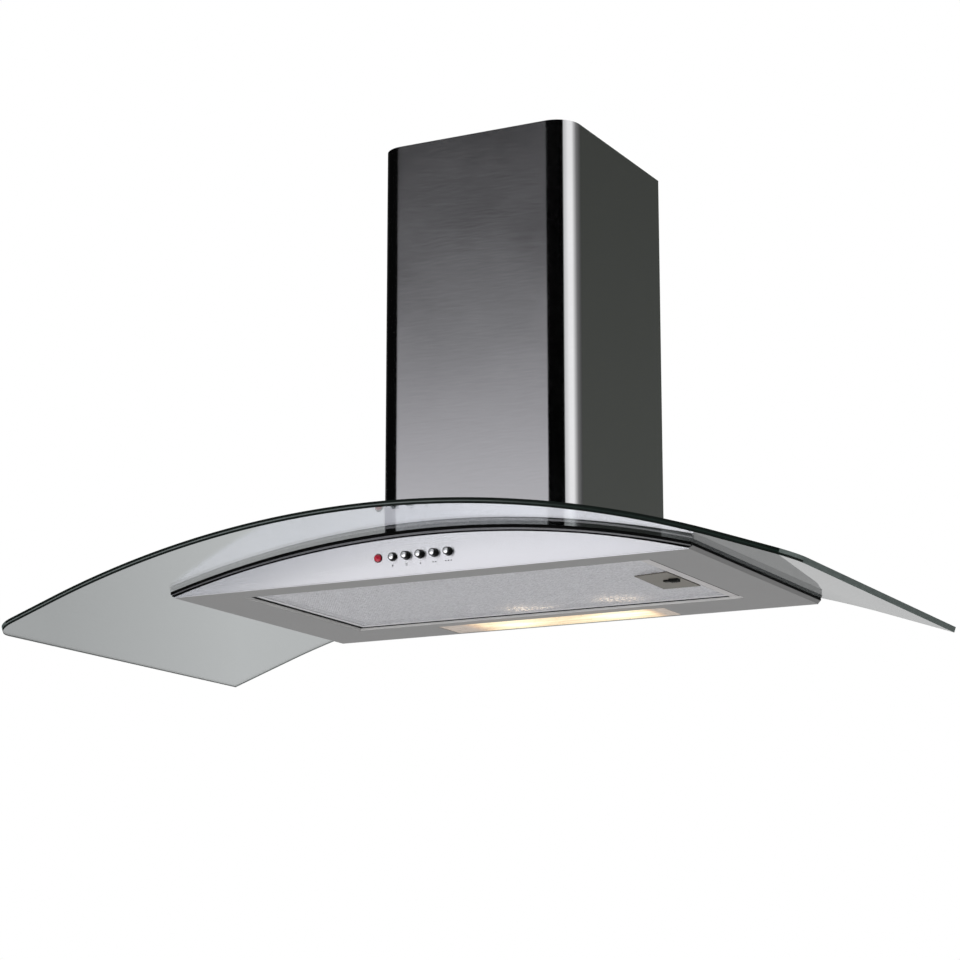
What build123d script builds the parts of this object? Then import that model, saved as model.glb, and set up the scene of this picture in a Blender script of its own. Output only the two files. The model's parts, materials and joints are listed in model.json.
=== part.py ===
from build123d import *
from math import asin, cos, radians, sin, sqrt, tan
import os

# Wall-mounted chimney hood with a curved glass canopy.
# X runs to the right, Y back to the wall (the wall is the plane y = 0) and Z up.
# z = 0 is the lower face of the hood's body. All sizes are in millimetres.

# ---------------------------------------------------------------- driving dimensions
# glass canopy
glass_width = 900.0
glass_depth = 468.0
glass_thickness = 6.0
side_height = 7.3  # underside of the glass above the body's lower face, at the body's sides
bend_radius = 1128.0  # of the underside
bend_half = 372.0  # the bend reaches this far from the centre line, then the glass runs straight
glass_corner = 25.0  # plan radius of the two front corners
notch_side_gap = 11.0  # between the tower and the notch cut for it in the glass
notch_front_gap = 12.0
glass_screw_x = 215.0
glass_screw_back = 90.0  # rear screws, from the wall
glass_screw_front = 85.0  # front screws, from the front panel
glass_screw_radius = 2.5
glass_hole_radius = 4.0
glass_cap_radius = 9.0
glass_cap_height = 3.5
glass_nut_radius = 4.5
glass_nut_height = 4.0
gasket_thickness = 2.0
gasket_width = 8.0

# body under the glass
sheet = 1.0
body_width = 596.0
body_depth = 355.0
side_flare = 3.0  # how far each side leans out at its top
trim_height = 4.5
trim_depth = 2.0

# grease filter and its opening
filter_opening_width = 474.0
filter_opening_shift = 5.0  # the opening's centre lies this far right of the body's
filter_front_land = 34.5  # plain sheet between the front panel and the opening
filter_rear_land = 16.5  # plain sheet between the opening and the lamp opening
filter_flange = 13.0
filter_recess = 3.4  # the frame's lower face above the body's lower face
filter_height = 8.0
filter_border = 9.0
filter_side_gap = 1.5
filter_end_gap = 1.0
filter_pin_radius = 1.5
mesh_layers = 3
mesh_thickness = 0.8
mesh_inset = 0.2
latch_plate_length = 86.0
latch_plate_width = 41.0
latch_plate_edge = 20.0  # from the opening's right edge to the latch plate
latch_plate_thickness = 1.2
latch_housing_length = 40.0
latch_travel = 6.0
latch_nose_gap = 0.4
latch_bolt_width = 14.0
latch_bolt_thickness = 2.5
knob_length = 18.0
knob_width = 7.0
knob_drop = 3.6
knob_edge = 2.0  # from the latch plate's right edge to the knob
knob_stem = 6.0

# lamps
lamp_opening_width = 280.0
lamp_opening_depth = 52.0
lamp_rear_land = 4.0
lamp_flange = 8.0
lamp_cover_thickness = 3.0
lamp_cover_gap = 0.8
lamp_pin_radius = 1.0
tray_sheet = 0.8
bulb_radius = 11.0
bulb_length = 85.0
bulb_cap_radius = 7.0
bulb_cap_length = 22.0
bulb_cover_gap = 3.5
bulb_top_gap = 1.0
holder_wall = 4.0
holder_length = 26.0

# controls
button_count = 5
button_pitch = 16.2
button_row_centre = 2.5
button_height = 21.0
button_radius = 4.0
button_reach = 6.6  # how far a released button stands out of the panel
button_latched = 2.4  # how much deeper the pressed light button rests
button_travel = 3.5
button_tail = 8.0  # length inside the switch block
indicator_spacing = 17.1  # from the first button
indicator_radius = 4.0
indicator_rim = 1.0
indicator_tail = 12.0
switch_block_height = 20.0
switch_block_depth = 27.0

# blower tower
tower_width = 190.0
tower_top_height = 300.0
tower_lift = 1.1  # the tower's lower edge above the body's cover
curb_lap = 15.5  # how far the curb reaches up inside the tower
curb_screw_inset = 30.0
curb_screw_drop = 8.0
curb_screw_radius = 2.0
keyhole_x = 60.0
keyhole_drop_from_lid = 32.0
lock_hole_x = 75.0
lock_hole_height = 90.0
wall_screw_radius = 2.75
keyhole_head_radius = 5.5
keyhole_drop = 12.0

# scroll housing, impeller and motor
scroll_cutoff = 10.0  # least gap between the impeller and the scroll
scroll_step = 5.0  # growth of the spiral's radius per quarter turn
scroll_wall = 2.0
scroll_inner_width = 100.0
scroll_front_gap = 1.0  # between the scroll and the tower's walls
scroll_rear_gap = 17.0
scroll_bottom_gap = 5.0  # between the scroll and the curb's top
scroll_neck_inset = 8.0  # of the outlet neck's rear wall inside the collar
tab_thickness = 2.7
inlet_lap = 4.0  # the cheeks cover the blades' inner edges by this much
impeller_radius = 66.0
impeller_side_gap = 4.0
impeller_ring = 1.5
impeller_disc = 2.0
blade_depth = 12.0
blade_count = 32
blade_thickness = 1.0
blade_angle = 28.0
hub_radius = 9.0
hub_length = 16.0
shaft_radius = 4.0
shaft_overhang = 12.0  # past the impeller's middle
motor_radius = 38.0
motor_length = 56.0
motor_nose = 6.0  # length of the narrower bearing seat at each end
motor_start = 8.0  # from the impeller's middle to the motor
bracket_thickness = 2.5
post_radius = 4.0
post_screw_radius = 1.6

# electrical parts in the tower
capacitor_radius = 15.0
capacitor_length = 50.0
capacitor_y = -45.0
clip_sheet = 1.2
clip_height = 12.0
clip_ear = 10.0
terminal_depth = 32.0
terminal_width = 50.0
terminal_height = 46.0
terminal_y = -65.0
electrics_drop = 18.0  # from the tower's lid down to the capacitor and the terminal box
lead_radius = 2.0
motor_lead_inset = 7.0  # from the motor's rim to its lead
gland_inset = 20.0  # from the tower's side to the cable gland's axis
gland_y = -22.0
gland_radius = 6.0
gland_bore = 4.0
gland_rim = 3.0
gland_tail = 8.0

# duct collar and its two flaps
collar_radius = 60.0
collar_wall = 2.0
collar_height = 49.0
collar_rim = 12.0  # width of the flange round the collar
collar_flange = 2.0
collar_edge = 4.0  # from the tower's front to the flange
collar_ledge = 4.0
collar_screw_radius = 2.0
collar_screw_angle = 25.0
collar_screw_tip = 6.0
flap_axis_height = 7.0  # above the tower's top sheet
flap_axis_offset = 3.5
flap_thickness = 1.6
flap_rim_gap = 1.5
flap_barrel_radius = 2.4
flap_pin_radius = 1.5

# chimney
chimney_side_gap = 21.5  # between the tower and the chimney's sheet
chimney_front_gap = 47.0
chimney_top = 510.0
chimney_corner = 28.0
chimney_lip = 14.0
chimney_glass_gap = 0.5
telescope_gap = 0.8
telescope_back_gap = 0.5
upper_top_drop = 5.0  # the upper chimney's top below the lower one's, when it is pushed in
foot_lift = 2.6  # the feet above the glass, where the tower's sides stand
foot_height = 20.0
foot_sheet = 1.2
foot_width = 30.0
foot_setback = 66.0  # from the tower's front
upper_foot_gap = 3.0
strap_height = 30.0
strap_drop = 5.0  # below the upper chimney's top edge
strap_thickness = 2.0
strap_arm = 30.0
strap_hole_x = 80.0

# shared clearances
running_fit = 0.05
screw_fit = 0.15
seat_gap = 0.3

# ---------------------------------------------------------------- places worked out from them
body_half = body_width / 2
shell_half = body_half + side_flare  # half width of the body at its top
glass_crown = side_height + bend_radius - sqrt(bend_radius**2 - body_half**2)
bend_centre_z = glass_crown - bend_radius
bend_angle = asin(bend_half / bend_radius)
gasket_bottom = -gasket_thickness  # offsets from the glass's underside, square to the bend
cover_bottom = gasket_bottom - sheet
trim_bottom = gasket_bottom - trim_height
panel_back = -(body_depth - sheet)  # rear face of the front panel

lamp_rear = -lamp_rear_land
lamp_front = lamp_rear - lamp_opening_depth
lamp_half = lamp_opening_width / 2
lamp_axis_y = (lamp_front + lamp_rear) / 2
lamp_pin_y = lamp_front + lamp_cover_gap + lamp_cover_thickness / 2
lamp_pin_z = lamp_cover_thickness / 2
bulb_axis_height = lamp_cover_thickness + bulb_cover_gap + bulb_radius
tray_height = bulb_axis_height + bulb_radius + bulb_top_gap

filter_left = filter_opening_shift - filter_opening_width / 2
filter_right = filter_left + filter_opening_width
filter_front = -(body_depth - filter_front_land)
filter_rear = lamp_front - filter_rear_land
filter_pin_x = filter_left + filter_side_gap + filter_pin_radius + sheet
filter_pin_z = filter_recess + filter_pin_radius + sheet
latch_centre_y = (filter_front + filter_rear) / 2
latch_right = filter_right - latch_plate_edge

scroll_start_radius = impeller_radius + scroll_cutoff
scroll_radii = [scroll_start_radius + quarter * scroll_step for quarter in range(3)]
scroll_span = scroll_radii[0] + scroll_step + scroll_radii[2] + 2 * scroll_wall
scroll_half = scroll_inner_width / 2
impeller_half = scroll_half - impeller_side_gap
inlet_radius = impeller_radius - blade_depth - inlet_lap
motor_end = motor_start + motor_length

tower_half = tower_width / 2
tower_depth = scroll_front_gap + scroll_span + scroll_rear_gap + sheet
tower_front = -(tower_depth + sheet)
tower_bottom = glass_crown - gasket_thickness + tower_lift
curb_top = tower_bottom + curb_lap
scroll_axis_y = -sheet - scroll_rear_gap - scroll_wall - scroll_radii[0]
scroll_axis_z = curb_top + scroll_bottom_gap + scroll_wall + scroll_radii[1]
collar_flange_radius = collar_radius + collar_rim
collar_y = tower_front + collar_edge + collar_flange_radius
lid_top = tower_top_height + sheet

chimney_width = tower_width + 2 * (chimney_side_gap + sheet)
chimney_depth = tower_depth + sheet + chimney_front_gap + sheet
upper_wall_front = -(chimney_depth - sheet - telescope_gap)
upper_wall_back = -(sheet + telescope_back_gap)
upper_width = chimney_width - 2 * (sheet + telescope_gap)
upper_depth = upper_wall_back - upper_wall_front


def bend_point(angle, offset):
    """Point of the canopy's curve, offset square to it, at an angle from the centre line."""
    reach = bend_radius + offset
    return (reach * sin(angle), bend_centre_z + reach * cos(angle))


def bend_height(x, offset=0.0):
    """Height of the canopy's curve at x, offset square to it."""
    return bend_centre_z + sqrt((bend_radius + offset) ** 2 - x**2)


def bend_plane(x, y, offset):
    """Plane lying on the canopy's curve at x, with its normal pointing up out of it."""
    angle = asin(x / bend_radius)
    place = bend_point(angle, offset)
    return Plane(
        origin=(place[0], y, place[1]),
        x_dir=(cos(angle), 0, -sin(angle)),
        z_dir=(sin(angle), 0, cos(angle)),
    )


def arched_band(half, lower, upper):
    """Upright face between two offsets of the canopy's curve."""
    with BuildSketch(Plane.XZ) as face:
        with BuildLine():
            low = [(s * half, bend_height(half, lower)) for s in (-1, 1)]
            high = [(s * half, bend_height(half, upper)) for s in (-1, 1)]
            ThreePointArc(low[0], (0, bend_height(0, lower)), low[1])
            Line(low[1], high[1])
            ThreePointArc(high[1], (0, bend_height(0, upper)), high[0])
            Line(high[0], low[0])
        make_face()
    return face.sketch


def under_arch(half, offset, floor=0.0):
    """Upright face from a level floor up to the canopy's curve."""
    with BuildSketch(Plane.XZ) as face:
        with BuildLine():
            ends = [(s * half, bend_height(half, offset)) for s in (-1, 1)]
            ThreePointArc(ends[0], (0, bend_height(0, offset)), ends[1])
            Polyline(ends[1], (half, floor), (-half, floor), ends[0])
        make_face()
    return face.sketch


def raise_back(face, near, far, mode=Mode.ADD):
    """Extrude an upright face at the wall plane so that it fills y = -far to y = -near."""
    placed = face.moved(Location((0, -near, 0)))
    extrude(to_extrude=placed, amount=far - near, dir=(0, -1, 0), mode=mode)


def block(low, high, mode=Mode.ADD):
    """Box between two corners."""
    size = [high[i] - low[i] for i in range(3)]
    centre = [(high[i] + low[i]) / 2 for i in range(3)]
    with Locations(tuple(centre)):
        Box(*size, mode=mode)


def rod(start, radius, length, direction, mode=Mode.ADD):
    """Round bar from a point, along a direction."""
    with BuildSketch(Plane(origin=start, z_dir=direction), mode=Mode.PRIVATE) as end:
        Circle(radius)
    extrude(to_extrude=end.sketch, amount=length, dir=direction, mode=mode)


def channel(width, front, back, wall, corner, lip):
    """Plan of a folded sheet: front and sides, open at the back between two lips."""
    depth = back - front
    middle = (front + back) / 2
    with BuildSketch(mode=Mode.PRIVATE) as hollow:
        with Locations((0, middle)):
            Rectangle(width - 2 * wall, depth - 2 * wall)
        fillet(hollow.vertices().group_by(Axis.Y)[0], max(corner - wall, wall / 2))
        with Locations((0, back - wall)):
            Rectangle(width - 2 * lip, 4 * wall)
    with BuildSketch() as plan:
        with Locations((0, middle)):
            Rectangle(width, depth)
        fillet(plan.vertices().group_by(Axis.Y)[0], corner)
        add(hollow.sketch, mode=Mode.SUBTRACT)
    return plan.sketch


def finish(piece, name):
    """Name a finished piece and write it to its own file."""
    piece.part.label = name
    export_step(piece.part, f"parts/{name}.step")


os.makedirs("parts", exist_ok=True)

# ---------------------------------------------------------------- glass canopy
glass_run = (glass_width / 2 - bend_point(bend_angle, glass_thickness)[0]) / cos(bend_angle)
notch_half = tower_half + notch_side_gap
notch_depth = tower_depth + notch_front_gap
glass_screw_rows = (-glass_screw_back, glass_screw_front - body_depth)
glass_screw_places = [(side * glass_screw_x, y) for side in (-1, 1) for y in glass_screw_rows]


def glass_end(side, offset):
    """Point at the glass's cut end."""
    x, z = bend_point(bend_angle, offset)
    return (side * (x + glass_run * cos(bend_angle)), z - glass_run * sin(bend_angle))


with BuildPart() as glass_canopy:
    with BuildSketch(Plane.XZ) as glass_section:
        with BuildLine():
            for offset in (0.0, glass_thickness):
                left = bend_point(-bend_angle, offset)
                right = bend_point(bend_angle, offset)
                Line(glass_end(-1, offset), left)
                ThreePointArc(left, bend_point(0, offset), right)
                Line(right, glass_end(1, offset))
            for side in (-1, 1):
                Line(glass_end(side, 0.0), glass_end(side, glass_thickness))
        make_face()
    extrude(amount=glass_depth)
    with BuildSketch(Plane.XY.offset(-glass_width / 2)) as glass_plan:
        with Locations((0, -glass_depth / 2)):
            Rectangle(glass_width, glass_depth)
        fillet(glass_plan.vertices().group_by(Axis.Y)[0], glass_corner)
    extrude(amount=glass_width, mode=Mode.INTERSECT)
    with BuildSketch() as glass_notch:
        with Locations((0, -notch_depth / 2)):
            Rectangle(2 * notch_half, notch_depth)
        fillet(glass_notch.vertices().group_by(Axis.Y)[0], glass_corner / 2)
    extrude(amount=2 * glass_crown, mode=Mode.SUBTRACT)
    for x, y in glass_screw_places:
        with Locations(bend_plane(x, y, glass_thickness / 2)):
            Cylinder(glass_hole_radius, 2 * glass_thickness, mode=Mode.SUBTRACT)
finish(glass_canopy, "glass_canopy")

with BuildPart() as glass_gasket:
    rim = arched_band(shell_half, gasket_bottom, 0.0)
    raise_back(rim, seat_gap, body_depth + trim_depth / 2)
    hole = arched_band(shell_half - gasket_width, 2 * gasket_bottom, -gasket_bottom)
    raise_back(hole, gasket_width, body_depth - gasket_width, Mode.SUBTRACT)
    block((-notch_half, -2 * gasket_width, 0), (notch_half, 0, 2 * glass_crown), Mode.SUBTRACT)
finish(glass_gasket, "glass_gasket")

spacer_height = gasket_thickness - running_fit * 2
with BuildPart() as glass_spacers:
    for x, y in glass_screw_places:
        with Locations(bend_plane(x, y, -gasket_thickness / 2)):
            Cylinder(2 * glass_hole_radius, spacer_height)
            Cylinder(glass_screw_radius + screw_fit, spacer_height, mode=Mode.SUBTRACT)
finish(glass_spacers, "glass_spacers")

upright = (Align.CENTER, Align.CENTER, Align.MIN)
shank = glass_nut_height + sheet + gasket_thickness + glass_thickness + 3 * running_fit
with BuildPart() as glass_screws:
    for x, y in glass_screw_places:
        with Locations(bend_plane(x, y, glass_thickness + running_fit)):
            Cone(glass_cap_radius, glass_cap_radius * 0.7, glass_cap_height, align=upright)
        with Locations(bend_plane(x, y, cover_bottom - glass_nut_height - running_fit)):
            Cylinder(glass_screw_radius, shank, align=upright)
            Cylinder(glass_nut_radius, glass_nut_height, align=upright)
finish(glass_screws, "glass_screws")

# ---------------------------------------------------------------- body
openings = (
    (filter_left, filter_right, filter_front, filter_rear, filter_flange),
    (-lamp_half, lamp_half, lamp_front, lamp_rear, lamp_flange),
)
side_overrun = 2.0  # the sides are folded this many times higher and then cut to the arch
lip_height = side_overrun * bend_height(shell_half, cover_bottom)
lean = side_overrun * side_flare
with BuildPart() as bottom_plate:
    with BuildSketch(Plane.XZ.offset(sheet)) as tray_section:
        with BuildLine():
            Polyline(
                (-body_half, 0),
                (body_half, 0),
                (body_half + lean, lip_height),
                (body_half + lean - sheet, lip_height),
                (body_half - sheet, sheet),
                (sheet - body_half, sheet),
                (sheet - body_half - lean, lip_height),
                (-body_half - lean, lip_height),
                close=True,
            )
        make_face()
    extrude(amount=body_depth - 2 * sheet)
    above = arched_band(shell_half + lean, cover_bottom, cover_bottom + 2 * lip_height)
    raise_back(above, 0, body_depth, Mode.SUBTRACT)
    for left, right, front, rear, height in openings:
        block((left - sheet, front - sheet, 0), (right + sheet, rear + sheet, height))
        block((left, front, -sheet), (right, rear, height), Mode.SUBTRACT)
    start = (filter_pin_x, filter_front - 2 * sheet, filter_pin_z)
    span = filter_rear - filter_front + 4 * sheet
    rod(start, filter_pin_radius + running_fit, span, (0, 1, 0), Mode.SUBTRACT)
    start = (-lamp_half - 2 * sheet, lamp_pin_y, lamp_pin_z)
    span = lamp_opening_width + 4 * sheet
    rod(start, lamp_pin_radius + running_fit, span, (1, 0, 0), Mode.SUBTRACT)
finish(bottom_plate, "bottom_plate")

curb_half = tower_half - sheet
curb_front = tower_front + sheet
curb_back = -sheet
curb_screw_z = curb_top - curb_screw_drop
curb_screw_places = [
    (side, y) for side in (-1, 1) for y in (curb_front + curb_screw_inset, curb_back - curb_screw_inset)
]
with BuildPart() as top_cover:
    block((-curb_half, curb_front, 0), (curb_half, curb_back, curb_top))
    fillet(top_cover.edges().filter_by(Axis.Z).group_by(Axis.Y)[0], 2 * sheet)
    raise_back(under_arch(body_half, cover_bottom, -sheet), 0, body_depth, Mode.SUBTRACT)
    raise_back(arched_band(shell_half - seat_gap, cover_bottom, gasket_bottom), sheet, body_depth - sheet)
    block(
        (sheet - curb_half, curb_front + sheet, 0),
        (curb_half - sheet, curb_back - sheet, curb_top),
        Mode.SUBTRACT,
    )
    for x, y in glass_screw_places:
        with Locations(bend_plane(x, y, cover_bottom)):
            Cylinder(glass_screw_radius + screw_fit, 4 * sheet, mode=Mode.SUBTRACT)
    for side, y in curb_screw_places:
        start = (side * (curb_half - 2 * sheet), y, curb_screw_z)
        rod(start, curb_screw_radius + screw_fit, 4 * sheet, (side, 0, 0), Mode.SUBTRACT)
finish(top_cover, "top_cover")

button_places = [
    button_row_centre + (i - (button_count - 1) / 2) * button_pitch for i in range(button_count)
]
indicator_x = button_places[0] - indicator_spacing
indicator_stem = indicator_radius - indicator_rim
with BuildPart() as front_panel:
    raise_back(under_arch(body_half, trim_bottom), body_depth - sheet, body_depth)
    for x in button_places:
        start = (x, -body_depth - sheet, button_height)
        rod(start, button_radius + seat_gap, 3 * sheet, (0, 1, 0), Mode.SUBTRACT)
    start = (indicator_x, -body_depth - sheet, button_height)
    rod(start, indicator_stem + screw_fit, 3 * sheet, (0, 1, 0), Mode.SUBTRACT)
finish(front_panel, "front_panel")

with BuildPart() as front_trim:
    band = arched_band(shell_half, trim_bottom, gasket_bottom)
    raise_back(band, body_depth - sheet, body_depth - sheet + trim_depth)
    block((-glass_width, -glass_depth, -glass_crown), (glass_width, 0, 0), Mode.SUBTRACT)
finish(front_trim, "front_trim")

with BuildPart() as rear_panel:
    raise_back(under_arch(body_half, gasket_bottom), 0, sheet)
finish(rear_panel, "rear_panel")

# ---------------------------------------------------------------- lamps
tray_half = lamp_half + sheet
with BuildPart() as lamp_tray:
    low = (-tray_half - tray_sheet, lamp_front - sheet - tray_sheet, sheet)
    high = (tray_half + tray_sheet, lamp_rear + sheet + tray_sheet, tray_height + tray_sheet)
    block(low, high)
    low = (-tray_half, lamp_front - sheet, 0)
    high = (tray_half, lamp_rear + sheet, tray_height)
    block(low, high, Mode.SUBTRACT)
finish(lamp_tray, "lamp_tray")

holder_outer = lamp_half - sheet
holder_radius = bulb_cap_radius + holder_wall
socket_radius = bulb_cap_radius + seat_gap
for side, side_name in ((-1, "left"), (1, "right")):
    start = (side * holder_outer, lamp_axis_y, bulb_axis_height)
    with BuildPart() as lamp_holder:
        rod(start, holder_radius, holder_length, (-side, 0, 0))
        foot = side * (holder_outer - holder_length / 2)
        block(
            (foot - holder_length / 4, lamp_axis_y - holder_radius * 0.6, bulb_axis_height),
            (foot + holder_length / 4, lamp_axis_y + holder_radius * 0.6, tray_height),
        )
        mouth = (side * (holder_outer - holder_length), lamp_axis_y, bulb_axis_height)
        rod(mouth, socket_radius, bulb_cap_length + 1, (side, 0, 0), Mode.SUBTRACT)
    finish(lamp_holder, f"lamp_holder_{side_name}")

    cap_end = holder_outer - (holder_length - bulb_cap_length)
    with BuildPart() as bulb:
        origin = (side * cap_end, lamp_axis_y, bulb_axis_height)
        with BuildSketch(Plane(origin=origin, x_dir=(-side, 0, 0), z_dir=(0, -1, 0))) as bulb_half:
            straight = bulb_length - bulb_radius
            shoulder = bulb_cap_length + bulb_radius - bulb_cap_radius
            with BuildLine():
                Polyline(
                    (straight + bulb_radius, 0),
                    (0, 0),
                    (0, bulb_cap_radius * 0.6),
                    (3, bulb_cap_radius),
                    (bulb_cap_length, bulb_cap_radius),
                    (shoulder, bulb_radius),
                    (straight, bulb_radius),
                )
                arc_end = (straight + bulb_radius, 0)
                arc_mid = (straight + bulb_radius * cos(radians(45)), bulb_radius * sin(radians(45)))
                ThreePointArc((straight, bulb_radius), arc_mid, arc_end)
            make_face()
        revolve(axis=Axis(origin, (-side, 0, 0)))
    finish(bulb, f"bulb_{side_name}")

with BuildPart() as lamp_cover:
    block(
        (lamp_cover_gap - lamp_half, lamp_front + lamp_cover_gap, 0),
        (lamp_half - lamp_cover_gap, lamp_rear - lamp_cover_gap, lamp_cover_thickness),
    )
    front_edges = lamp_cover.edges().filter_by(Axis.X).group_by(Axis.Y)[0]
    fillet(front_edges, lamp_cover_thickness / 2 - 2 * running_fit)
    for side in (-1, 1):
        start = (side * (lamp_half - lamp_cover_gap), lamp_pin_y, lamp_pin_z)
        rod(start, lamp_pin_radius, lamp_cover_gap + sheet, (side, 0, 0))
finish(lamp_cover, "lamp_cover")

# ---------------------------------------------------------------- controls
switch_low = (button_places[0] - button_pitch / 2, panel_back, button_height - switch_block_height / 2)
switch_high = (
    button_places[-1] + button_pitch / 2,
    panel_back + switch_block_depth,
    button_height + switch_block_height / 2,
)
with BuildPart() as switch_block:
    block(switch_low, switch_high)
    for x in button_places:
        start = (x, panel_back, button_height)
        bore = button_tail + 2 * button_travel
        rod(start, button_radius + seat_gap, bore, (0, 1, 0), Mode.SUBTRACT)
finish(switch_block, "switch_block")

button_names = ("light", "off", "low", "medium", "high")
for x, button_name in zip(button_places, button_names):
    pressed = button_latched if button_name == "light" else 0.0
    with BuildPart() as button:
        front = -body_depth - button_reach + pressed
        rod((x, front, button_height), button_radius, button_reach + sheet + button_tail, (0, 1, 0))
        fillet(button.edges().group_by(Axis.Y)[0], 0.3 * button_radius)
    finish(button, f"button_{button_name}")

with BuildPart() as indicator:
    centre = (indicator_x, -body_depth, button_height)
    with Locations((indicator_x, -body_depth - indicator_rim, button_height)):
        Sphere(indicator_radius)
    rod(centre, 2 * indicator_radius, 2 * indicator_radius, (0, 1, 0), Mode.SUBTRACT)
    rod(centre, indicator_radius, indicator_rim, (0, -1, 0))
    rod(centre, indicator_stem, indicator_tail, (0, 1, 0))
finish(indicator, "indicator_lamp")

# ---------------------------------------------------------------- grease filter
frame_left = filter_left + filter_side_gap
frame_right = filter_right - filter_side_gap
frame_front = filter_front + filter_end_gap
frame_rear = filter_rear - filter_end_gap
frame_top = filter_recess + filter_height
latch_half = latch_plate_length / 2
housing_half = latch_housing_length / 2
bolt_half = latch_bolt_width / 2
bolt_low = filter_recess + 2 * sheet
bolt_high = bolt_low + latch_bolt_thickness
with BuildPart() as filter_frame:
    block((frame_left, frame_front, filter_recess), (frame_right, frame_rear, frame_top))
    block(
        (frame_left + filter_border, frame_front + filter_border, 0),
        (frame_right - filter_border, frame_rear - filter_border, frame_top + sheet),
        Mode.SUBTRACT,
    )
    for y, way in ((frame_front, -1), (frame_rear, 1)):
        rod((filter_pin_x, y, filter_pin_z), filter_pin_radius, filter_end_gap + sheet, (0, way, 0))
    block(
        (frame_right - 2 * filter_border, latch_centre_y - bolt_half - seat_gap, bolt_low - seat_gap),
        (frame_right + sheet, latch_centre_y + bolt_half + seat_gap, bolt_high + seat_gap),
        Mode.SUBTRACT,
    )
finish(filter_frame, "filter_frame")

housing_left = latch_right - latch_plate_width + 3 * sheet
layer_pitch = (filter_height - mesh_inset * 2 - mesh_thickness) / (mesh_layers - 1)
with BuildPart() as filter_mesh:
    for layer in range(mesh_layers):
        layer_bottom = filter_recess + mesh_inset + layer * layer_pitch
        block(
            (frame_left + filter_border, frame_front + filter_border, layer_bottom),
            (frame_right - filter_border, frame_rear - filter_border, layer_bottom + mesh_thickness),
        )
    block(
        (housing_left, latch_centre_y - housing_half, 0),
        (frame_right, latch_centre_y + housing_half, frame_top + sheet),
        Mode.SUBTRACT,
    )
finish(filter_mesh, "filter_mesh")

slot_half = knob_width / 2 + seat_gap
stem_right = latch_right - knob_edge - knob_stem * 2 / 3
stem_left = stem_right - knob_stem
plate_bottom = filter_recess - latch_plate_thickness
knob_top = plate_bottom - seat_gap
with BuildPart() as latch_plate:
    block(
        (latch_right - latch_plate_width, latch_centre_y - latch_half, plate_bottom),
        (latch_right, latch_centre_y + latch_half, filter_recess),
    )
    block(
        (housing_left, latch_centre_y - housing_half, filter_recess),
        (frame_right - filter_border, latch_centre_y + housing_half, frame_top - mesh_inset),
    )
    block(
        (stem_left - latch_travel - seat_gap, latch_centre_y - bolt_half - seat_gap, bolt_low - seat_gap),
        (frame_right, latch_centre_y + bolt_half + seat_gap, bolt_high + seat_gap),
        Mode.SUBTRACT,
    )
    block(
        (stem_left - latch_travel - seat_gap, latch_centre_y - slot_half, 0),
        (stem_right + seat_gap, latch_centre_y + slot_half, bolt_low),
        Mode.SUBTRACT,
    )
finish(latch_plate, "latch_plate")

with BuildPart() as latch_slide:
    block(
        (stem_left, latch_centre_y - bolt_half, bolt_low),
        (filter_right - latch_nose_gap, latch_centre_y + bolt_half, bolt_high),
    )
    block(
        (stem_left, latch_centre_y - knob_width / 2, knob_top),
        (stem_right, latch_centre_y + knob_width / 2, bolt_low),
    )
    block(
        (latch_right - knob_edge - knob_length, latch_centre_y - knob_width / 2, knob_top - knob_drop),
        (latch_right - knob_edge, latch_centre_y + knob_width / 2, knob_top),
    )
finish(latch_slide, "latch_slide")

# ---------------------------------------------------------------- blower tower
with BuildPart() as tower_wrap:
    with BuildSketch(Plane.XY.offset(tower_bottom)):
        add(channel(tower_width, tower_front, -sheet, sheet, 2 * sheet, sheet))
    extrude(amount=tower_top_height - tower_bottom)
    for side, y in curb_screw_places:
        start = (side * (tower_half - 2 * sheet), y, curb_screw_z)
        rod(start, curb_screw_radius + screw_fit, 4 * sheet, (side, 0, 0), Mode.SUBTRACT)
finish(tower_wrap, "tower_wrap")

with BuildPart() as tower_screws:
    for side, y in curb_screw_places:
        start = (side * (curb_half - sheet), y, curb_screw_z)
        rod(start, curb_screw_radius, 2 * sheet + 2 * running_fit, (side, 0, 0))
        start = (side * (tower_half + running_fit), y, curb_screw_z)
        rod(start, 1.75 * curb_screw_radius, curb_screw_radius, (side, 0, 0))
finish(tower_screws, "tower_screws")

keyhole_height = tower_top_height - keyhole_drop_from_lid
with BuildPart() as tower_back:
    block((-tower_half, -sheet, tower_bottom), (tower_half, 0, tower_top_height))
    for side in (-1, 1):
        with BuildSketch(Plane.XZ) as keyhole:
            with Locations((side * keyhole_x, keyhole_height - keyhole_drop)):
                Circle(keyhole_head_radius)
            with Locations((side * keyhole_x, keyhole_height)):
                Circle(wall_screw_radius)
            with Locations((side * keyhole_x, keyhole_height - keyhole_drop / 2)):
                Rectangle(2 * wall_screw_radius, keyhole_drop)
        extrude(amount=sheet, mode=Mode.SUBTRACT)
        rod((side * lock_hole_x, 0, lock_hole_height), wall_screw_radius, sheet, (0, -1, 0), Mode.SUBTRACT)
finish(tower_back, "tower_back")

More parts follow.
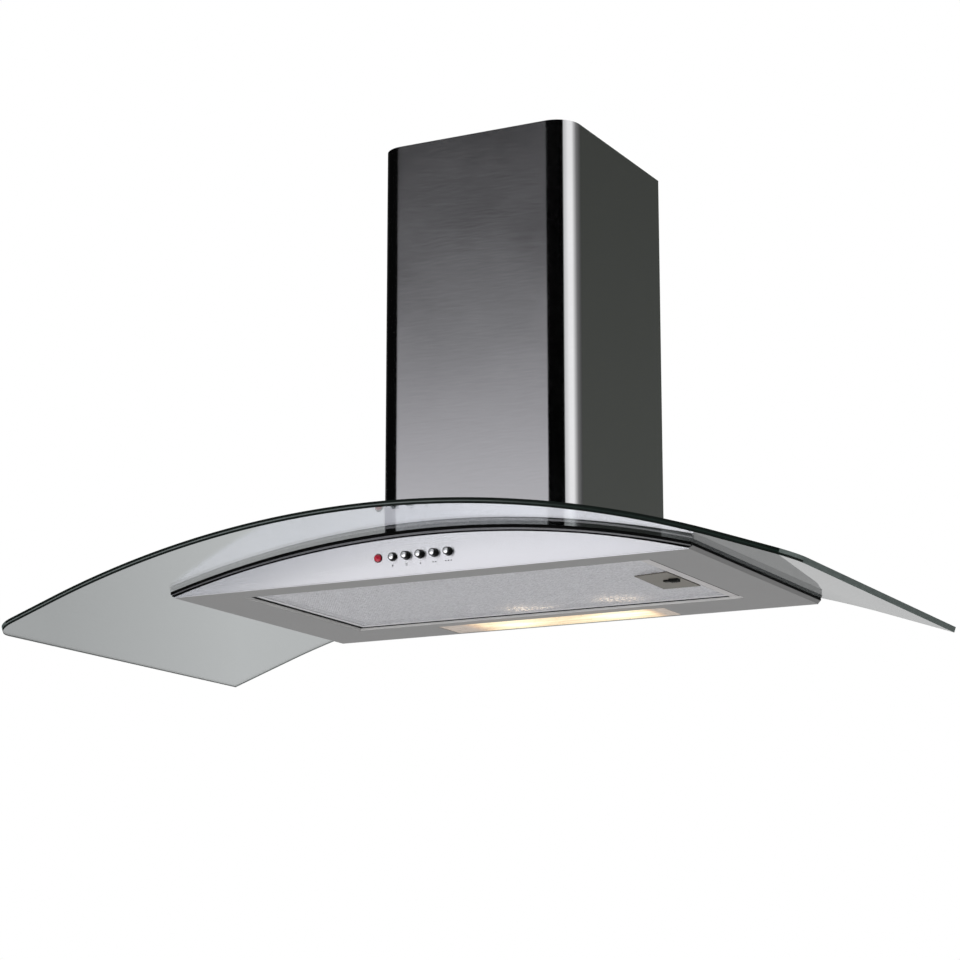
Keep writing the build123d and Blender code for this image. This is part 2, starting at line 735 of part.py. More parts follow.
collar_screw_circle = collar_radius + collar_rim / 2
collar_screw_x = collar_screw_circle * cos(radians(collar_screw_angle))
collar_screw_y = collar_screw_circle * sin(radians(collar_screw_angle))
collar_screws_at = [
    (side * collar_screw_x, collar_y + way * collar_screw_y) for side in (-1, 1) for way in (-1, 1)
]
gland_x = tower_half - gland_inset
with BuildPart() as tower_lid:
    block((-tower_half, tower_front, tower_top_height), (tower_half, 0, tower_top_height + sheet))
    start_height = tower_top_height - sheet
    rod((0, collar_y, start_height), collar_radius - collar_wall, 3 * sheet, (0, 0, 1), Mode.SUBTRACT)
    rod((gland_x, gland_y, start_height), gland_radius + screw_fit, 3 * sheet, (0, 0, 1), Mode.SUBTRACT)
    for x, y in collar_screws_at:
        rod((x, y, start_height), collar_screw_radius + screw_fit, 3 * sheet, (0, 0, 1), Mode.SUBTRACT)
finish(tower_lid, "tower_lid")

with BuildPart() as cable_gland:
    low = (gland_x, gland_y, lid_top - gland_tail)
    rod(low, gland_radius, 2 * gland_tail, (0, 0, 1))
    rod((gland_x, gland_y, lid_top), gland_radius + gland_rim, 0.6 * gland_tail, (0, 0, 1))
    rod((gland_x, gland_y, tower_top_height), gland_radius + gland_rim, gland_tail / 2, (0, 0, -1))
    rod(low, gland_bore, 2 * gland_tail, (0, 0, 1), Mode.SUBTRACT)
finish(cable_gland, "cable_gland")

# ---------------------------------------------------------------- duct collar and flaps
flap_axis_z = lid_top + flap_axis_height
ledge_top = flap_axis_z - flap_thickness / 2 - seat_gap
collar_inner = collar_radius - collar_wall
with BuildPart() as duct_collar:
    rod((0, collar_y, lid_top), collar_radius, collar_height, (0, 0, 1))
    rod((0, collar_y, lid_top), collar_flange_radius, collar_flange, (0, 0, 1))
    rod((0, collar_y, lid_top), collar_inner - collar_ledge, ledge_top - lid_top, (0, 0, 1), Mode.SUBTRACT)
    rod((0, collar_y, ledge_top), collar_inner, collar_height, (0, 0, 1), Mode.SUBTRACT)
    for way in (-1, 1):
        start = (-collar_radius - 1, collar_y + way * flap_axis_offset, flap_axis_z)
        rod(start, flap_pin_radius + running_fit, 2 * collar_radius + 2, (1, 0, 0), Mode.SUBTRACT)
    for x, y in collar_screws_at:
        start = (x, y, lid_top - sheet)
        rod(start, collar_screw_radius + screw_fit, 2 * collar_flange + sheet, (0, 0, 1), Mode.SUBTRACT)
finish(duct_collar, "duct_collar")

flap_radius = collar_inner - flap_rim_gap
for way, flap_name in ((-1, "front"), (1, "rear")):
    axis_y = collar_y + way * flap_axis_offset
    with BuildPart() as flap:
        rod((0, collar_y, flap_axis_z - flap_thickness / 2), flap_radius, flap_thickness, (0, 0, 1))
        near = axis_y - way * 2 * flap_radius
        block(
            (-flap_radius, min(near, axis_y), flap_axis_z - flap_thickness),
            (flap_radius, max(near, axis_y), flap_axis_z + flap_thickness),
            Mode.SUBTRACT,
        )
        barrel_half = collar_inner - collar_ledge - sheet
        rod((-barrel_half, axis_y, flap_axis_z), flap_barrel_radius, 2 * barrel_half, (1, 0, 0))
        pin_half = collar_radius - collar_wall / 2
        rod((-pin_half, axis_y, flap_axis_z), flap_pin_radius, 2 * pin_half, (1, 0, 0))
    finish(flap, f"flap_{flap_name}")

with BuildPart() as collar_screws:
    for x, y in collar_screws_at:
        top = (x, y, lid_top + collar_flange + running_fit)
        rod(top, 1.9 * collar_screw_radius, collar_screw_radius, (0, 0, 1))
        rod(top, collar_screw_radius, collar_flange + sheet + collar_screw_tip, (0, 0, -1))
finish(collar_screws, "collar_screws")

# ---------------------------------------------------------------- scroll housing
def scroll_outline(wall):
    """Side view of the scroll: three quarter arcs of growing radius, then the outlet neck."""
    r1, r2, r3 = [radius + wall for radius in scroll_radii]
    centre_a = (scroll_axis_y, scroll_axis_z)
    centre_b = (scroll_axis_y - scroll_step, scroll_axis_z)
    centre_c = (scroll_axis_y - scroll_step, scroll_axis_z + scroll_step)
    diagonal = sin(radians(45))
    neck_rear = (collar_y + collar_inner - scroll_neck_inset + wall, tower_top_height - seat_gap)
    tongue_angle = asin(1.5 * wall / r1)  # keeps the wall's two faces apart at the tongue
    middle_angle = (tongue_angle + radians(90)) / 2
    with BuildSketch(Plane.YZ) as side_view:
        with BuildLine():
            tongue = (centre_a[0] + r1 * sin(tongue_angle), centre_a[1] + r1 * cos(tongue_angle))
            ThreePointArc(
                tongue,
                (centre_a[0] + r1 * sin(middle_angle), centre_a[1] + r1 * cos(middle_angle)),
                (centre_a[0] + r1, centre_a[1]),
            )
            ThreePointArc(
                (centre_b[0] + r2, centre_b[1]),
                (centre_b[0] + r2 * diagonal, centre_b[1] - r2 * diagonal),
                (centre_b[0], centre_b[1] - r2),
            )
            ThreePointArc(
                (centre_c[0], centre_c[1] - r3),
                (centre_c[0] - r3 * diagonal, centre_c[1] - r3 * diagonal),
                (centre_c[0] - r3, centre_c[1]),
            )
            Polyline(
                (centre_c[0] - r3, centre_c[1]),
                (centre_c[0] - r3, tower_top_height - seat_gap),
                neck_rear,
                tongue,
            )
        make_face()
    return side_view.sketch


with BuildPart() as scroll_band:
    outer = scroll_outline(scroll_wall).moved(Location((-scroll_half, 0, 0)))
    inner = scroll_outline(0.0).moved(Location((-scroll_half, 0, 0)))
    extrude(to_extrude=outer, amount=scroll_inner_width, dir=(1, 0, 0))
    extrude(to_extrude=inner, amount=scroll_inner_width, dir=(1, 0, 0), mode=Mode.SUBTRACT)
finish(scroll_band, "scroll_band")

tab_top = tower_top_height - seat_gap
tab_outer = collar_screw_x + 3 * collar_screw_radius
tab_half = collar_screw_y + 6 * collar_screw_radius
post_angles = (90, 210, 330)
post_circle = inlet_radius + post_radius + screw_fit * 20
post_places = [
    (
        scroll_axis_y + post_circle * cos(radians(angle)),
        scroll_axis_z + post_circle * sin(radians(angle)),
    )
    for angle in post_angles
]
for side, side_name in ((-1, "left"), (1, "right")):
    with BuildPart() as cheek:
        start_x = scroll_half * side
        face = scroll_outline(scroll_wall).moved(Location((start_x, 0, 0)))
        extrude(to_extrude=face, amount=scroll_wall, dir=(side, 0, 0))
        start = (start_x, scroll_axis_y, scroll_axis_z)
        rod(start, inlet_radius, scroll_wall, (side, 0, 0), Mode.SUBTRACT)
        near_x, far_x = sorted((side * (scroll_half + scroll_wall), side * tab_outer))
        low = (near_x, collar_y - tab_half, tab_top - tab_thickness)
        block(low, (far_x, collar_y + tab_half, tab_top))
        for x, y in collar_screws_at:
            start = (x, y, tab_top - 2 * tab_thickness)
            rod(start, collar_screw_radius + screw_fit, 3 * tab_thickness, (0, 0, 1), Mode.SUBTRACT)
    finish(cheek, f"scroll_cheek_{side_name}")

# ---------------------------------------------------------------- motor, shaft and impeller
cheek_face = scroll_half + scroll_wall
can_length = motor_length - 2 * motor_nose
with BuildPart() as motor:
    rod((motor_start + motor_nose, scroll_axis_y, scroll_axis_z), motor_radius, can_length, (1, 0, 0))
    fillet(motor.edges().filter_by(GeomType.CIRCLE), 0.1 * motor_radius)
    start = (motor_start, scroll_axis_y, scroll_axis_z)
    rod(start, motor_radius * 0.6, motor_length, (1, 0, 0))
    rod(start, shaft_radius + running_fit, motor_length, (1, 0, 0), Mode.SUBTRACT)
finish(motor, "motor")

with BuildPart() as motor_bracket:
    start = (motor_end, scroll_axis_y, scroll_axis_z)
    rod(start, motor_radius * 0.7, bracket_thickness, (1, 0, 0))
    for (y, z), angle in zip(post_places, post_angles):
        middle = (motor_end + bracket_thickness / 2, (y + scroll_axis_y) / 2, (z + scroll_axis_z) / 2)
        with Locations(Location(middle, (angle, 0, 0))):
            Box(bracket_thickness, post_circle, 2 * post_radius)
        rod((cheek_face, y, z), post_radius, motor_end - cheek_face + bracket_thickness, (1, 0, 0))
    rod(start, shaft_radius * 2, bracket_thickness, (1, 0, 0), Mode.SUBTRACT)
    for y, z in post_places:
        rod((cheek_face, y, z), post_screw_radius + screw_fit, motor_end, (1, 0, 0), Mode.SUBTRACT)
finish(motor_bracket, "motor_bracket")

with BuildPart() as motor_screws:
    outer_face = motor_end + bracket_thickness
    for y, z in post_places:
        rod((cheek_face + running_fit, y, z), post_screw_radius, outer_face - cheek_face, (1, 0, 0))
        rod((outer_face + running_fit, y, z), 2 * post_screw_radius, post_screw_radius, (1, 0, 0))
finish(motor_screws, "motor_screws")

with BuildPart() as motor_shaft:
    start = (-shaft_overhang, scroll_axis_y, scroll_axis_z)
    rod(start, shaft_radius, motor_end + shaft_overhang, (1, 0, 0))
finish(motor_shaft, "motor_shaft")

blade_inner = impeller_radius - blade_depth
blade_centre = impeller_radius - blade_depth / 2
hub_start = shaft_overhang - hub_length
with BuildPart() as impeller:
    start = (-impeller_disc / 2, scroll_axis_y, scroll_axis_z)
    rod(start, impeller_radius - impeller_ring, impeller_disc, (1, 0, 0))
    start = (hub_start - impeller_disc * 3, scroll_axis_y, scroll_axis_z)
    rod(start, hub_radius, hub_length, (1, 0, 0))
    for x in (-impeller_half, impeller_half - impeller_ring):
        start = (x, scroll_axis_y, scroll_axis_z)
        rod(start, impeller_radius, impeller_ring, (1, 0, 0))
        rod(start, blade_inner, impeller_ring, (1, 0, 0), Mode.SUBTRACT)
    origin = (-impeller_half, scroll_axis_y, scroll_axis_z)
    with BuildSketch(Plane(origin=origin, z_dir=(1, 0, 0))):
        with PolarLocations(blade_centre, blade_count):
            Rectangle(blade_depth - blade_thickness, blade_thickness, rotation=blade_angle)
    extrude(amount=2 * impeller_half)
    start = (-impeller_half, scroll_axis_y, scroll_axis_z)
    rod(start, shaft_radius, 2 * impeller_half, (1, 0, 0), Mode.SUBTRACT)
finish(impeller, "impeller")

# ---------------------------------------------------------------- electrical parts in the tower
wall_inner = tower_half - sheet
electrics_top = tower_top_height - electrics_drop
capacitor_base = electrics_top - capacitor_length
capacitor_x = capacitor_radius + clip_sheet / 2 - wall_inner
with BuildPart() as capacitor:
    start = (capacitor_x, capacitor_y, capacitor_base)
    rod(start, capacitor_radius, capacitor_length, (0, 0, 1))
    fillet(capacitor.edges().filter_by(GeomType.CIRCLE), 0.1 * capacitor_radius)
finish(capacitor, "capacitor")

with BuildPart() as capacitor_clip:
    clip_base = capacitor_base + (capacitor_length - clip_height) / 2
    clip_reach = capacitor_radius + clip_ear
    start = (capacitor_x, capacitor_y, clip_base)
    rod(start, capacitor_radius + clip_sheet, clip_height, (0, 0, 1))
    block(
        (-wall_inner, capacitor_y - clip_reach, clip_base),
        (clip_sheet - wall_inner, capacitor_y + clip_reach, clip_base + clip_height),
    )
    rod(start, capacitor_radius, clip_height, (0, 0, 1), Mode.SUBTRACT)
    block(
        (-wall_inner - clip_reach, capacitor_y - clip_reach, clip_base),
        (-wall_inner, capacitor_y + clip_reach, clip_base + clip_height),
        Mode.SUBTRACT,
    )
finish(capacitor_clip, "capacitor_clip")

terminal_low = electrics_top - terminal_height
with BuildPart() as terminal_box:
    block(
        (wall_inner - terminal_depth, terminal_y - terminal_width / 2, terminal_low),
        (wall_inner, terminal_y + terminal_width / 2, electrics_top),
    )
    fillet(terminal_box.faces().sort_by(Axis.X)[0].edges(), 0.1 * terminal_depth)
finish(terminal_box, "terminal_box")


def lead(points, radius):
    """Round lead along straight runs joined by tangent arcs as large as the runs allow."""
    corners = []
    for before, here, after in zip(points, points[1:], points[2:]):
        run_in = Vector(*here) - Vector(*before)
        run_out = Vector(*after) - Vector(*here)
        half_turn = radians(run_in.get_angle(run_out)) / 2
        corners.append(0.45 * min(run_in.length, run_out.length) / tan(half_turn))
    print("lead bend radii:", [round(corner, 1) for corner in corners])
    with BuildPart() as tube:
        with BuildLine() as path:
            FilletPolyline(*points, radius=corners)
        with BuildSketch(Plane(origin=path.line @ 0, z_dir=path.line % 0)):
            Circle(radius)
        sweep()
    return tube.part


def route(start, end, steps):
    """Points from one end of a lead to the other, each as shares of the way along X, Y and Z."""
    return [tuple(a + (b - a) * share for a, b, share in zip(start, end, step)) for step in steps]


control_start = (switch_high[0], panel_back + switch_block_depth / 2, button_height)
control_end = (wall_inner - terminal_depth / 4, terminal_y - terminal_width / 4, terminal_low)
control_steps = (
    (0, 0, 0),
    (0.67, 0.006, 0.014),
    (1.16, 0.07, 0.047),
    (1.28, 0.23, 0.07),
    (1.28, 0.41, 0.073),
    (1.26, 0.6, 0.072),
    (1.19, 0.76, 0.068),
    (1.07, 0.89, 0.075),
    (1.02, 0.96, 0.155),
    (1.035, 0.99, 0.33),
    (1.045, 0.996, 0.545),
    (1.02, 0.994, 0.765),
    (1, 1, 1),
)
motor_lead_start = (motor_end - motor_nose, scroll_axis_y + motor_radius - motor_lead_inset, scroll_axis_z)
motor_lead_end = (wall_inner - 3 * terminal_depth / 8, terminal_y + terminal_width / 10, terminal_low)
motor_lead_steps = (
    (0, 0, 0),
    (0.42, 0.04, 0.012),
    (0.79, 0.14, 0.065),
    (1.04, 0.28, 0.165),
    (1.1, 0.4, 0.3),
    (1.1, 0.7, 0.535),
    (1.04, 0.9, 0.79),
    (1, 1, 1),
)
control_lead = lead(route(control_start, control_end, control_steps), lead_radius)
motor_lead = lead(route(motor_lead_start, motor_lead_end, motor_lead_steps), lead_radius)
with BuildPart() as wiring:
    add(control_lead)
    add(motor_lead)
finish(wiring, "wiring")

# ---------------------------------------------------------------- chimney
with BuildPart() as chimney_lower:
    with BuildSketch():
        add(channel(chimney_width, -chimney_depth, 0, sheet, chimney_corner, chimney_lip))
    extrude(amount=chimney_top)
    seat = glass_thickness + chimney_glass_gap
    raise_back(under_arch(body_half, seat, -sheet), -sheet, glass_depth, Mode.SUBTRACT)
finish(chimney_lower, "chimney_lower")

foot_low = bend_height(tower_half, glass_thickness) + foot_lift
foot_y = tower_front + foot_setback
chimney_inner = chimney_width / 2 - sheet
with BuildPart() as chimney_feet:
    for side in (-1, 1):
        for low_x, high_x, top in (
            (tower_half, tower_half + foot_sheet, foot_low + foot_height * 0.3),
            (tower_half, chimney_inner, foot_low + foot_sheet),
            (chimney_inner - foot_sheet, chimney_inner, foot_low + foot_height),
        ):
            near_x, far_x = sorted((side * low_x, side * high_x))
            block((near_x, foot_y - foot_width / 2, foot_low), (far_x, foot_y + foot_width / 2, top))
finish(chimney_feet, "chimney_feet")

upper_bottom = foot_low + foot_height + upper_foot_gap
upper_top = chimney_top - upper_top_drop
with BuildPart() as chimney_upper:
    with BuildSketch(Plane.XY.offset(upper_bottom)):
        corner = chimney_corner - sheet - telescope_gap
        add(channel(upper_width, upper_wall_front, upper_wall_back, sheet, corner, chimney_lip))
    extrude(amount=upper_top - upper_bottom)
finish(chimney_upper, "chimney_upper")

upper_inner = upper_width / 2 - sheet
strap_top = upper_top - strap_drop
strap_bottom = strap_top - strap_height
strap_back = upper_wall_back - sheet
with BuildPart() as ceiling_strap:
    low = (-upper_inner, strap_back - strap_thickness, strap_bottom)
    block(low, (upper_inner, strap_back, strap_top))
    for side in (-1, 1):
        near_x, far_x = sorted((side * (upper_inner - strap_thickness), side * upper_inner))
        block((near_x, strap_back - strap_arm, strap_bottom), (far_x, strap_back, strap_top))
        start = (side * strap_hole_x, strap_back - 2 * strap_thickness, strap_top - strap_height / 2)
        rod(start, wall_screw_radius, 3 * strap_thickness, (0, 1, 0), Mode.SUBTRACT)
finish(ceiling_strap, "ceiling_strap")
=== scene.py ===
# %% [markdown]
# # A curved glass range hood
#
# The hood is an arched pane of toughened glass that lies on a low steel body, with a steel chimney
# behind it. The working model already holds every piece at its real size, so this file only gives the
# pieces their looks: finer meshes where the eye goes, a finish for each material, light and a camera.
# Everything is in metres: X runs to the right, Y back to the wall and Z up.

# %% Load the frame
import json
from math import asin, cos, hypot, pi, radians, sin

import bmesh
import bpy
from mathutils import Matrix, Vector


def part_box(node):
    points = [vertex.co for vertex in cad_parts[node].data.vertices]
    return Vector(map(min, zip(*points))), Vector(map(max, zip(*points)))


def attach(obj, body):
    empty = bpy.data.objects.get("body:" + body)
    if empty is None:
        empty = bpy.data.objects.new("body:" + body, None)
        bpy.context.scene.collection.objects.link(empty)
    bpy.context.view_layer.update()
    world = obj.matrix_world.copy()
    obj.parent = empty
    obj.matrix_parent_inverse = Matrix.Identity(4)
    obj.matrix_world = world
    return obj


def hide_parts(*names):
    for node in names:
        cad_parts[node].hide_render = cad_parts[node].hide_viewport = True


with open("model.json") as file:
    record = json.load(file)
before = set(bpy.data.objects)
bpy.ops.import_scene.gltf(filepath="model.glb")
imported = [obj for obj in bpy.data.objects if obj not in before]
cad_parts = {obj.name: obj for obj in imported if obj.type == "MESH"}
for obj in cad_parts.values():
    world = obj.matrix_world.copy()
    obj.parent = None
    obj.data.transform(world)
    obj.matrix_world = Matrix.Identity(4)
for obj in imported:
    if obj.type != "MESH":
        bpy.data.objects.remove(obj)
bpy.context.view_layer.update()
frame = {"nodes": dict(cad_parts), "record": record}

mm = 0.001
hair = 1e-7   # closer than this, two heights or places count as the same
nodes = frame["nodes"]
print("CAD pieces:", len(nodes))

# %% [markdown]
# ## The camera
#
# The photographer stood low and to the right, and looked up at the hood's underside. A camera can be
# placed by eye, but here its place was worked out from the edges of the hood in the photograph, so
# the script only has to state the result: where it stands and which way it looks.

# %% Place the camera
camera_place = Vector((1.2594, -2.6276, -0.4777))
camera_turn = 0.48191   # to the left of straight ahead, in radians
camera_rise = 0.21825   # above the level, in radians
focal_length = 97.5     # millimetres, on a 36 mm wide sensor


def new_object(name, data):
    """Put a mesh, a light or a camera into the scene."""
    made = bpy.data.objects.new(name, data)
    bpy.context.scene.collection.objects.link(made)
    return made


view_direction = Vector((
    -sin(camera_turn) * cos(camera_rise), cos(camera_turn) * cos(camera_rise), sin(camera_rise)))
camera_data = bpy.data.cameras.new("camera")
camera_data.lens = focal_length
camera_data.sensor_width = 36.0
camera_data.clip_end = 200.0
camera = new_object("camera", camera_data)
camera.location = camera_place
camera.rotation_euler = view_direction.to_track_quat("-Z", "Y").to_euler()
bpy.context.scene.camera = camera
bpy.context.scene.view_settings.view_transform = "Standard"
print("camera at", [round(v, 3) for v in camera_place])

# %% [markdown]
# ## Small helpers
#
# Most pieces below are made the same way: a list of points and faces becomes a mesh, and the mesh
# becomes an object. Materials are small networks of nodes, so one helper adds a node, and another
# gives its sockets fixed values or plugs in what comes from other nodes.

# %% Helpers for meshes
sharp_angle = radians(32)


def piece_from(name, bm, material, body):
    """Turn a bmesh into a finished piece that rides on a body of the frame."""
    mesh = bpy.data.meshes.new(name)
    bmesh.ops.recalc_face_normals(bm, faces=bm.faces)
    bm.to_mesh(mesh)
    bm.free()
    for face in mesh.polygons:
        face.use_smooth = True
    mesh.set_sharp_from_angle(angle=sharp_angle)
    for finish in material if isinstance(material, list) else [material]:
        mesh.materials.append(finish)
    piece = new_object(name, mesh)
    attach(piece, body)
    return piece


def add_box(bm, low, high):
    """Add a closed box between two corners and return its edges."""
    corners = [
        bm.verts.new((x, y, z))
        for z in (low[2], high[2]) for y in (low[1], high[1]) for x in (low[0], high[0])
    ]
    faces = [(0, 2, 3, 1), (4, 5, 7, 6), (0, 1, 5, 4), (2, 6, 7, 3), (0, 4, 6, 2), (1, 3, 7, 5)]
    made = [bm.faces.new([corners[i] for i in face]) for face in faces]
    return list({edge for face in made for edge in face.edges})


def add_turned(bm, profile, centre, axis, steps=48):
    """Add a turned solid: the profile is a list of (distance along the axis, radius)."""
    turn = axis.to_track_quat("Z", "Y")
    rings = []
    for along, radius in profile:
        angles = [2 * pi * i / steps for i in range(steps if radius > hair else 1)]
        places = [Vector((radius * cos(angle), radius * sin(angle), along)) for angle in angles]
        rings.append([bm.verts.new(centre + turn @ place) for place in places])
    faces = []
    for ring, after in zip(rings, rings[1:]):
        for i in range(steps):
            patch = [row[k % len(row)] for row, k in ((ring, i), (ring, i + 1), (after, i + 1), (after, i))]
            corners = list(dict.fromkeys(patch))
            if len(corners) > 2:
                faces.append(bm.faces.new(corners))
    for ring in (rings[0], rings[-1]):
        if len(ring) > 1:
            faces.append(bm.faces.new(ring))
    return faces


def join_rings(bm, rings, second=()):
    """Skin over a row of rings and close both ends; the strips in second get the second finish."""
    count = len(rings[0])
    for ring, after in zip(rings, rings[1:]):
        for j in range(count):
            k = (j + 1) % count
            face = bm.faces.new((ring[j], ring[k], after[k], after[j]))
            face.material_index = 1 if j in second else 0
    for ring in (rings[0], rings[-1]):
        bm.faces.new(ring)


def thicken(bm, faces, height):
    """Raise flat faces into a solid."""
    raised = bmesh.ops.extrude_face_region(bm, geom=faces)["geom"]
    tops = [part for part in raised if isinstance(part, bmesh.types.BMVert)]
    bmesh.ops.translate(bm, verts=tops, vec=(0, 0, height))
    bmesh.ops.recalc_face_normals(bm, faces=bm.faces)


# %% Helpers for materials
def connect(socket, value):
    """Give a socket a fixed value or another node's output."""
    if isinstance(value, bpy.types.NodeSocket):
        socket.id_data.links.new(value, socket)
    else:
        socket.default_value = value


def plug(node, **sockets):
    """Connect a node's sockets by name; underscores stand for spaces."""
    for name, value in sockets.items():
        connect(node.inputs[name.replace("_", " ")], value)


def new_finish(name, **flat):
    """A new material, its tree of nodes and its shader, with what is the same all over."""
    material = bpy.data.materials.new(name)
    material.use_nodes = True
    shader = material.node_tree.nodes["Principled BSDF"]
    plug(shader, **flat)
    return material, material.node_tree, shader


def add_node(tree, kind, inputs=(), **settings):
    """Add a node. Inputs are (socket, value or another node's output) pairs."""
    node = tree.nodes.new("ShaderNode" + kind)
    for name, value in settings.items():
        setattr(node, name, value)
    for socket, value in inputs:
        connect(node.inputs[socket], value)
    return node


def maths(tree, operation, *values):
    """Reckon with numbers and other nodes' outputs."""
    return add_node(tree, "Math", enumerate(values), operation=operation).outputs[0]


def remap(tree, output, start, end, low=0.0, high=1.0, **settings):
    """Stretch what lies between start and end to lie between low and high."""
    limits = [("From Min", start), ("From Max", end), ("To Min", low), ("To Max", high)]
    return add_node(tree, "MapRange", [("Value", output), *limits], **settings).outputs[0]


def step_up(tree, output, start, end):
    """0 below start, 1 above end, smooth between them."""
    return remap(tree, output, start, end, interpolation_type="SMOOTHSTEP")


def mixed(tree, share, first, second):
    """One colour that turns into another as share goes from 0 to 1."""
    return add_node(tree, "Mix", [(0, share), (6, first), (7, second)], data_type="RGBA").outputs[2]


def hood_place(tree):
    """Coordinates of the hood, in metres."""
    return add_node(tree, "TexCoord").outputs["Object"]


def hood_axis(tree, axis):
    """One coordinate of the hood, in metres."""
    return add_node(tree, "SeparateXYZ", [("Vector", hood_place(tree))]).outputs[axis]


def grain(tree, scale, detail=3.0, stretch=(1, 1, 1)):
    """Noise in the hood's own coordinates, perhaps stretched along some of its axes."""
    squeeze = add_node(tree, "VectorMath", [(0, hood_place(tree)), (1, stretch)], operation="MULTIPLY")
    noise = [("Vector", squeeze.outputs[0]), ("Scale", scale), ("Detail", detail)]
    return add_node(tree, "TexNoise", noise).outputs["Fac"]


def ramp(tree, fac, stops):
    """Turn a value into a colour: stops are (value, colour) pairs."""
    node = add_node(tree, "ValToRGB", [("Fac", fac)])
    elements = node.color_ramp.elements
    for element, (position, colour) in ((elements[0], stops[0]), (elements[1], stops[-1])):
        element.position, element.color = position, (*colour, 1)
    for position, colour in stops[1:-1]:
        elements.new(position).color = (*colour, 1)
    return node.outputs["Color"]


noise_low, noise_high = 0.3, 0.7    # most of a noise lies between these


def spread(tree, fac, low, high):
    """Turn a noise value into a number between two limits."""
    return remap(tree, fac, noise_low, noise_high, low, high)


def bumps(tree, fac, strength, depth):
    """Bump from a noise value: depth is the real height of the relief in metres."""
    return add_node(
        tree, "Bump", [("Height", fac), ("Strength", strength), ("Distance", depth)]).outputs["Normal"]


def shades(tree, fac, dark, light):
    """Turn a noise value into a colour between two shades."""
    return ramp(tree, fac, [(noise_low, dark), (noise_high, light)])


def around(colour, change):
    """Two shades of a colour, that share darker and lighter."""
    return [tuple(min(1.0, part * share) for part in colour) for share in (1 - change, 1 + change)]


def surface(shader, fac, dark, light, smooth, rough, **others):
    """Colour and roughness that follow one noise, and whatever else is plugged in."""
    tree = shader.id_data
    plug(
        shader, Base_Color=shades(tree, fac, dark, light), Roughness=spread(tree, fac, smooth, rough),
        **others)


# %% [markdown]
# ## Brushed stainless steel
#
# Brushed sheet is rolled past an abrasive belt, which leaves fine scratches all in one direction.
# They blur a reflection across the scratches and keep it crisp along them. Two things make that
# look: the shader's anisotropy, which stretches the highlights, and a noise squeezed into long thin
# streaks, which moves the roughness, the brightness and a very shallow bump.

# %% Make the brushed steels
def brushed_steel(name, colour, roughness, stretch, across, anisotropy, streak, depth=0.0000004):
    """Sheet with scratches along the axes that stretch leaves small; across is the blur's direction."""
    material, tree, shader = new_finish(name, Metallic=1.0, Anisotropic=anisotropy)
    fine = grain(tree, 1.0, 4.0, stretch)
    stray = grain(tree, 1.0, 1.0, tuple(part * (6.0 if part < 100 else 0.6) for part in stretch))
    smudge = grain(tree, 9.0)
    scratches = remap(tree, stray, 0.66, 0.74, 0.0, 1.5)
    tangent = add_node(tree, "CombineXYZ", zip("XYZ", across))
    plug(
        shader, Base_Color=shades(tree, fine, *around(colour, streak)), Tangent=tangent.outputs[0],
        Roughness=maths(
            tree, "ADD", spread(tree, fine, roughness - 0.015, roughness + 0.015),
            spread(tree, smudge, -0.012, 0.012)),
        Normal=bumps(tree, maths(tree, "ADD", fine, scratches), 0.35, depth))
    return material


along_walls = (60.0, 60.0, 2600.0)    # streaks run level round the upright faces
along_width = (7.0, 2000.0, 2000.0)   # streaks run along X on the flat plates
upwards, backwards = (0, 0, 1), (0, 1, 0)
chimney_steel = brushed_steel(
    "chimney_steel", (0.60, 0.60, 0.61), 0.16, along_walls, upwards, 0.95, 0.03, 0.00000006)
body_steel = brushed_steel("body_steel", (0.342, 0.339, 0.339), 0.34, along_width, backwards, 0.6, 0.03)
trim_steel = brushed_steel("trim_steel", (0.20, 0.20, 0.205), 0.26, along_width, upwards, 0.8, 0.05)
panel_steel = brushed_steel("panel_steel", (0.84, 0.84, 0.865), 0.26, along_width, upwards, 0.85, 0.012)
print("steels:", chimney_steel.name, body_steel.name, trim_steel.name, panel_steel.name)

# %% [markdown]
# ## The glass
#
# Float glass is clear through its faces and dark green along its edges, because light that runs
# along the sheet passes through much more glass. A glass shader with a colour on its surface can't
# do that. Absorption inside the volume can, as it takes more from longer paths. Shadow rays pass
# straight through, so that the steel behind the glass stays lit without waiting for caustics.

# %% Make the glass finishes
def clear_glass(name):
    """Solid glass with an absorbing inside."""
    material, tree, shader = new_finish(name, Base_Color=(1, 1, 1, 1), Transmission_Weight=1.0, IOR=1.52)
    plug(shader, Roughness=spread(tree, grain(tree, 60.0, 2.0), 0.0, 0.004))
    shadow = add_node(tree, "BsdfTransparent", [("Color", (0.80, 0.83, 0.82, 1))])
    rays = add_node(tree, "LightPath").outputs
    either = add_node(
        tree, "MixShader", [(0, rays["Is Shadow Ray"]), (1, shader.outputs[0]), (2, shadow.outputs[0])])
    inside = add_node(tree, "VolumeAbsorption", [("Color", (0.76, 0.84, 0.85, 1)), ("Density", 60.0)])
    plug(tree.nodes["Material Output"], Surface=either.outputs[0], Volume=inside.outputs[0])
    return material


def edge_finish(name, dark, light, roughness, right_end=None):
    """The ground edge of the pane: so much glass lies behind it that it looks solid.

    Towards the right its colour may turn into another, so that a painted line of light fades out there."""
    material, tree, shader = new_finish(name, Specular_IOR_Level=0.25)
    ground = grain(tree, 1.0, 3.0, (60, 60, 400))
    surface(
        shader, ground, dark, light, roughness, roughness + 0.15, Normal=bumps(tree, ground, 0.1, 0.00001))
    if right_end:
        colour = shader.inputs["Base Color"].links[0].from_socket
        right = step_up(tree, hood_axis(tree, "X"), 0.04, 0.26)
        plug(shader, Base_Color=mixed(tree, right, colour, right_end))
    return material


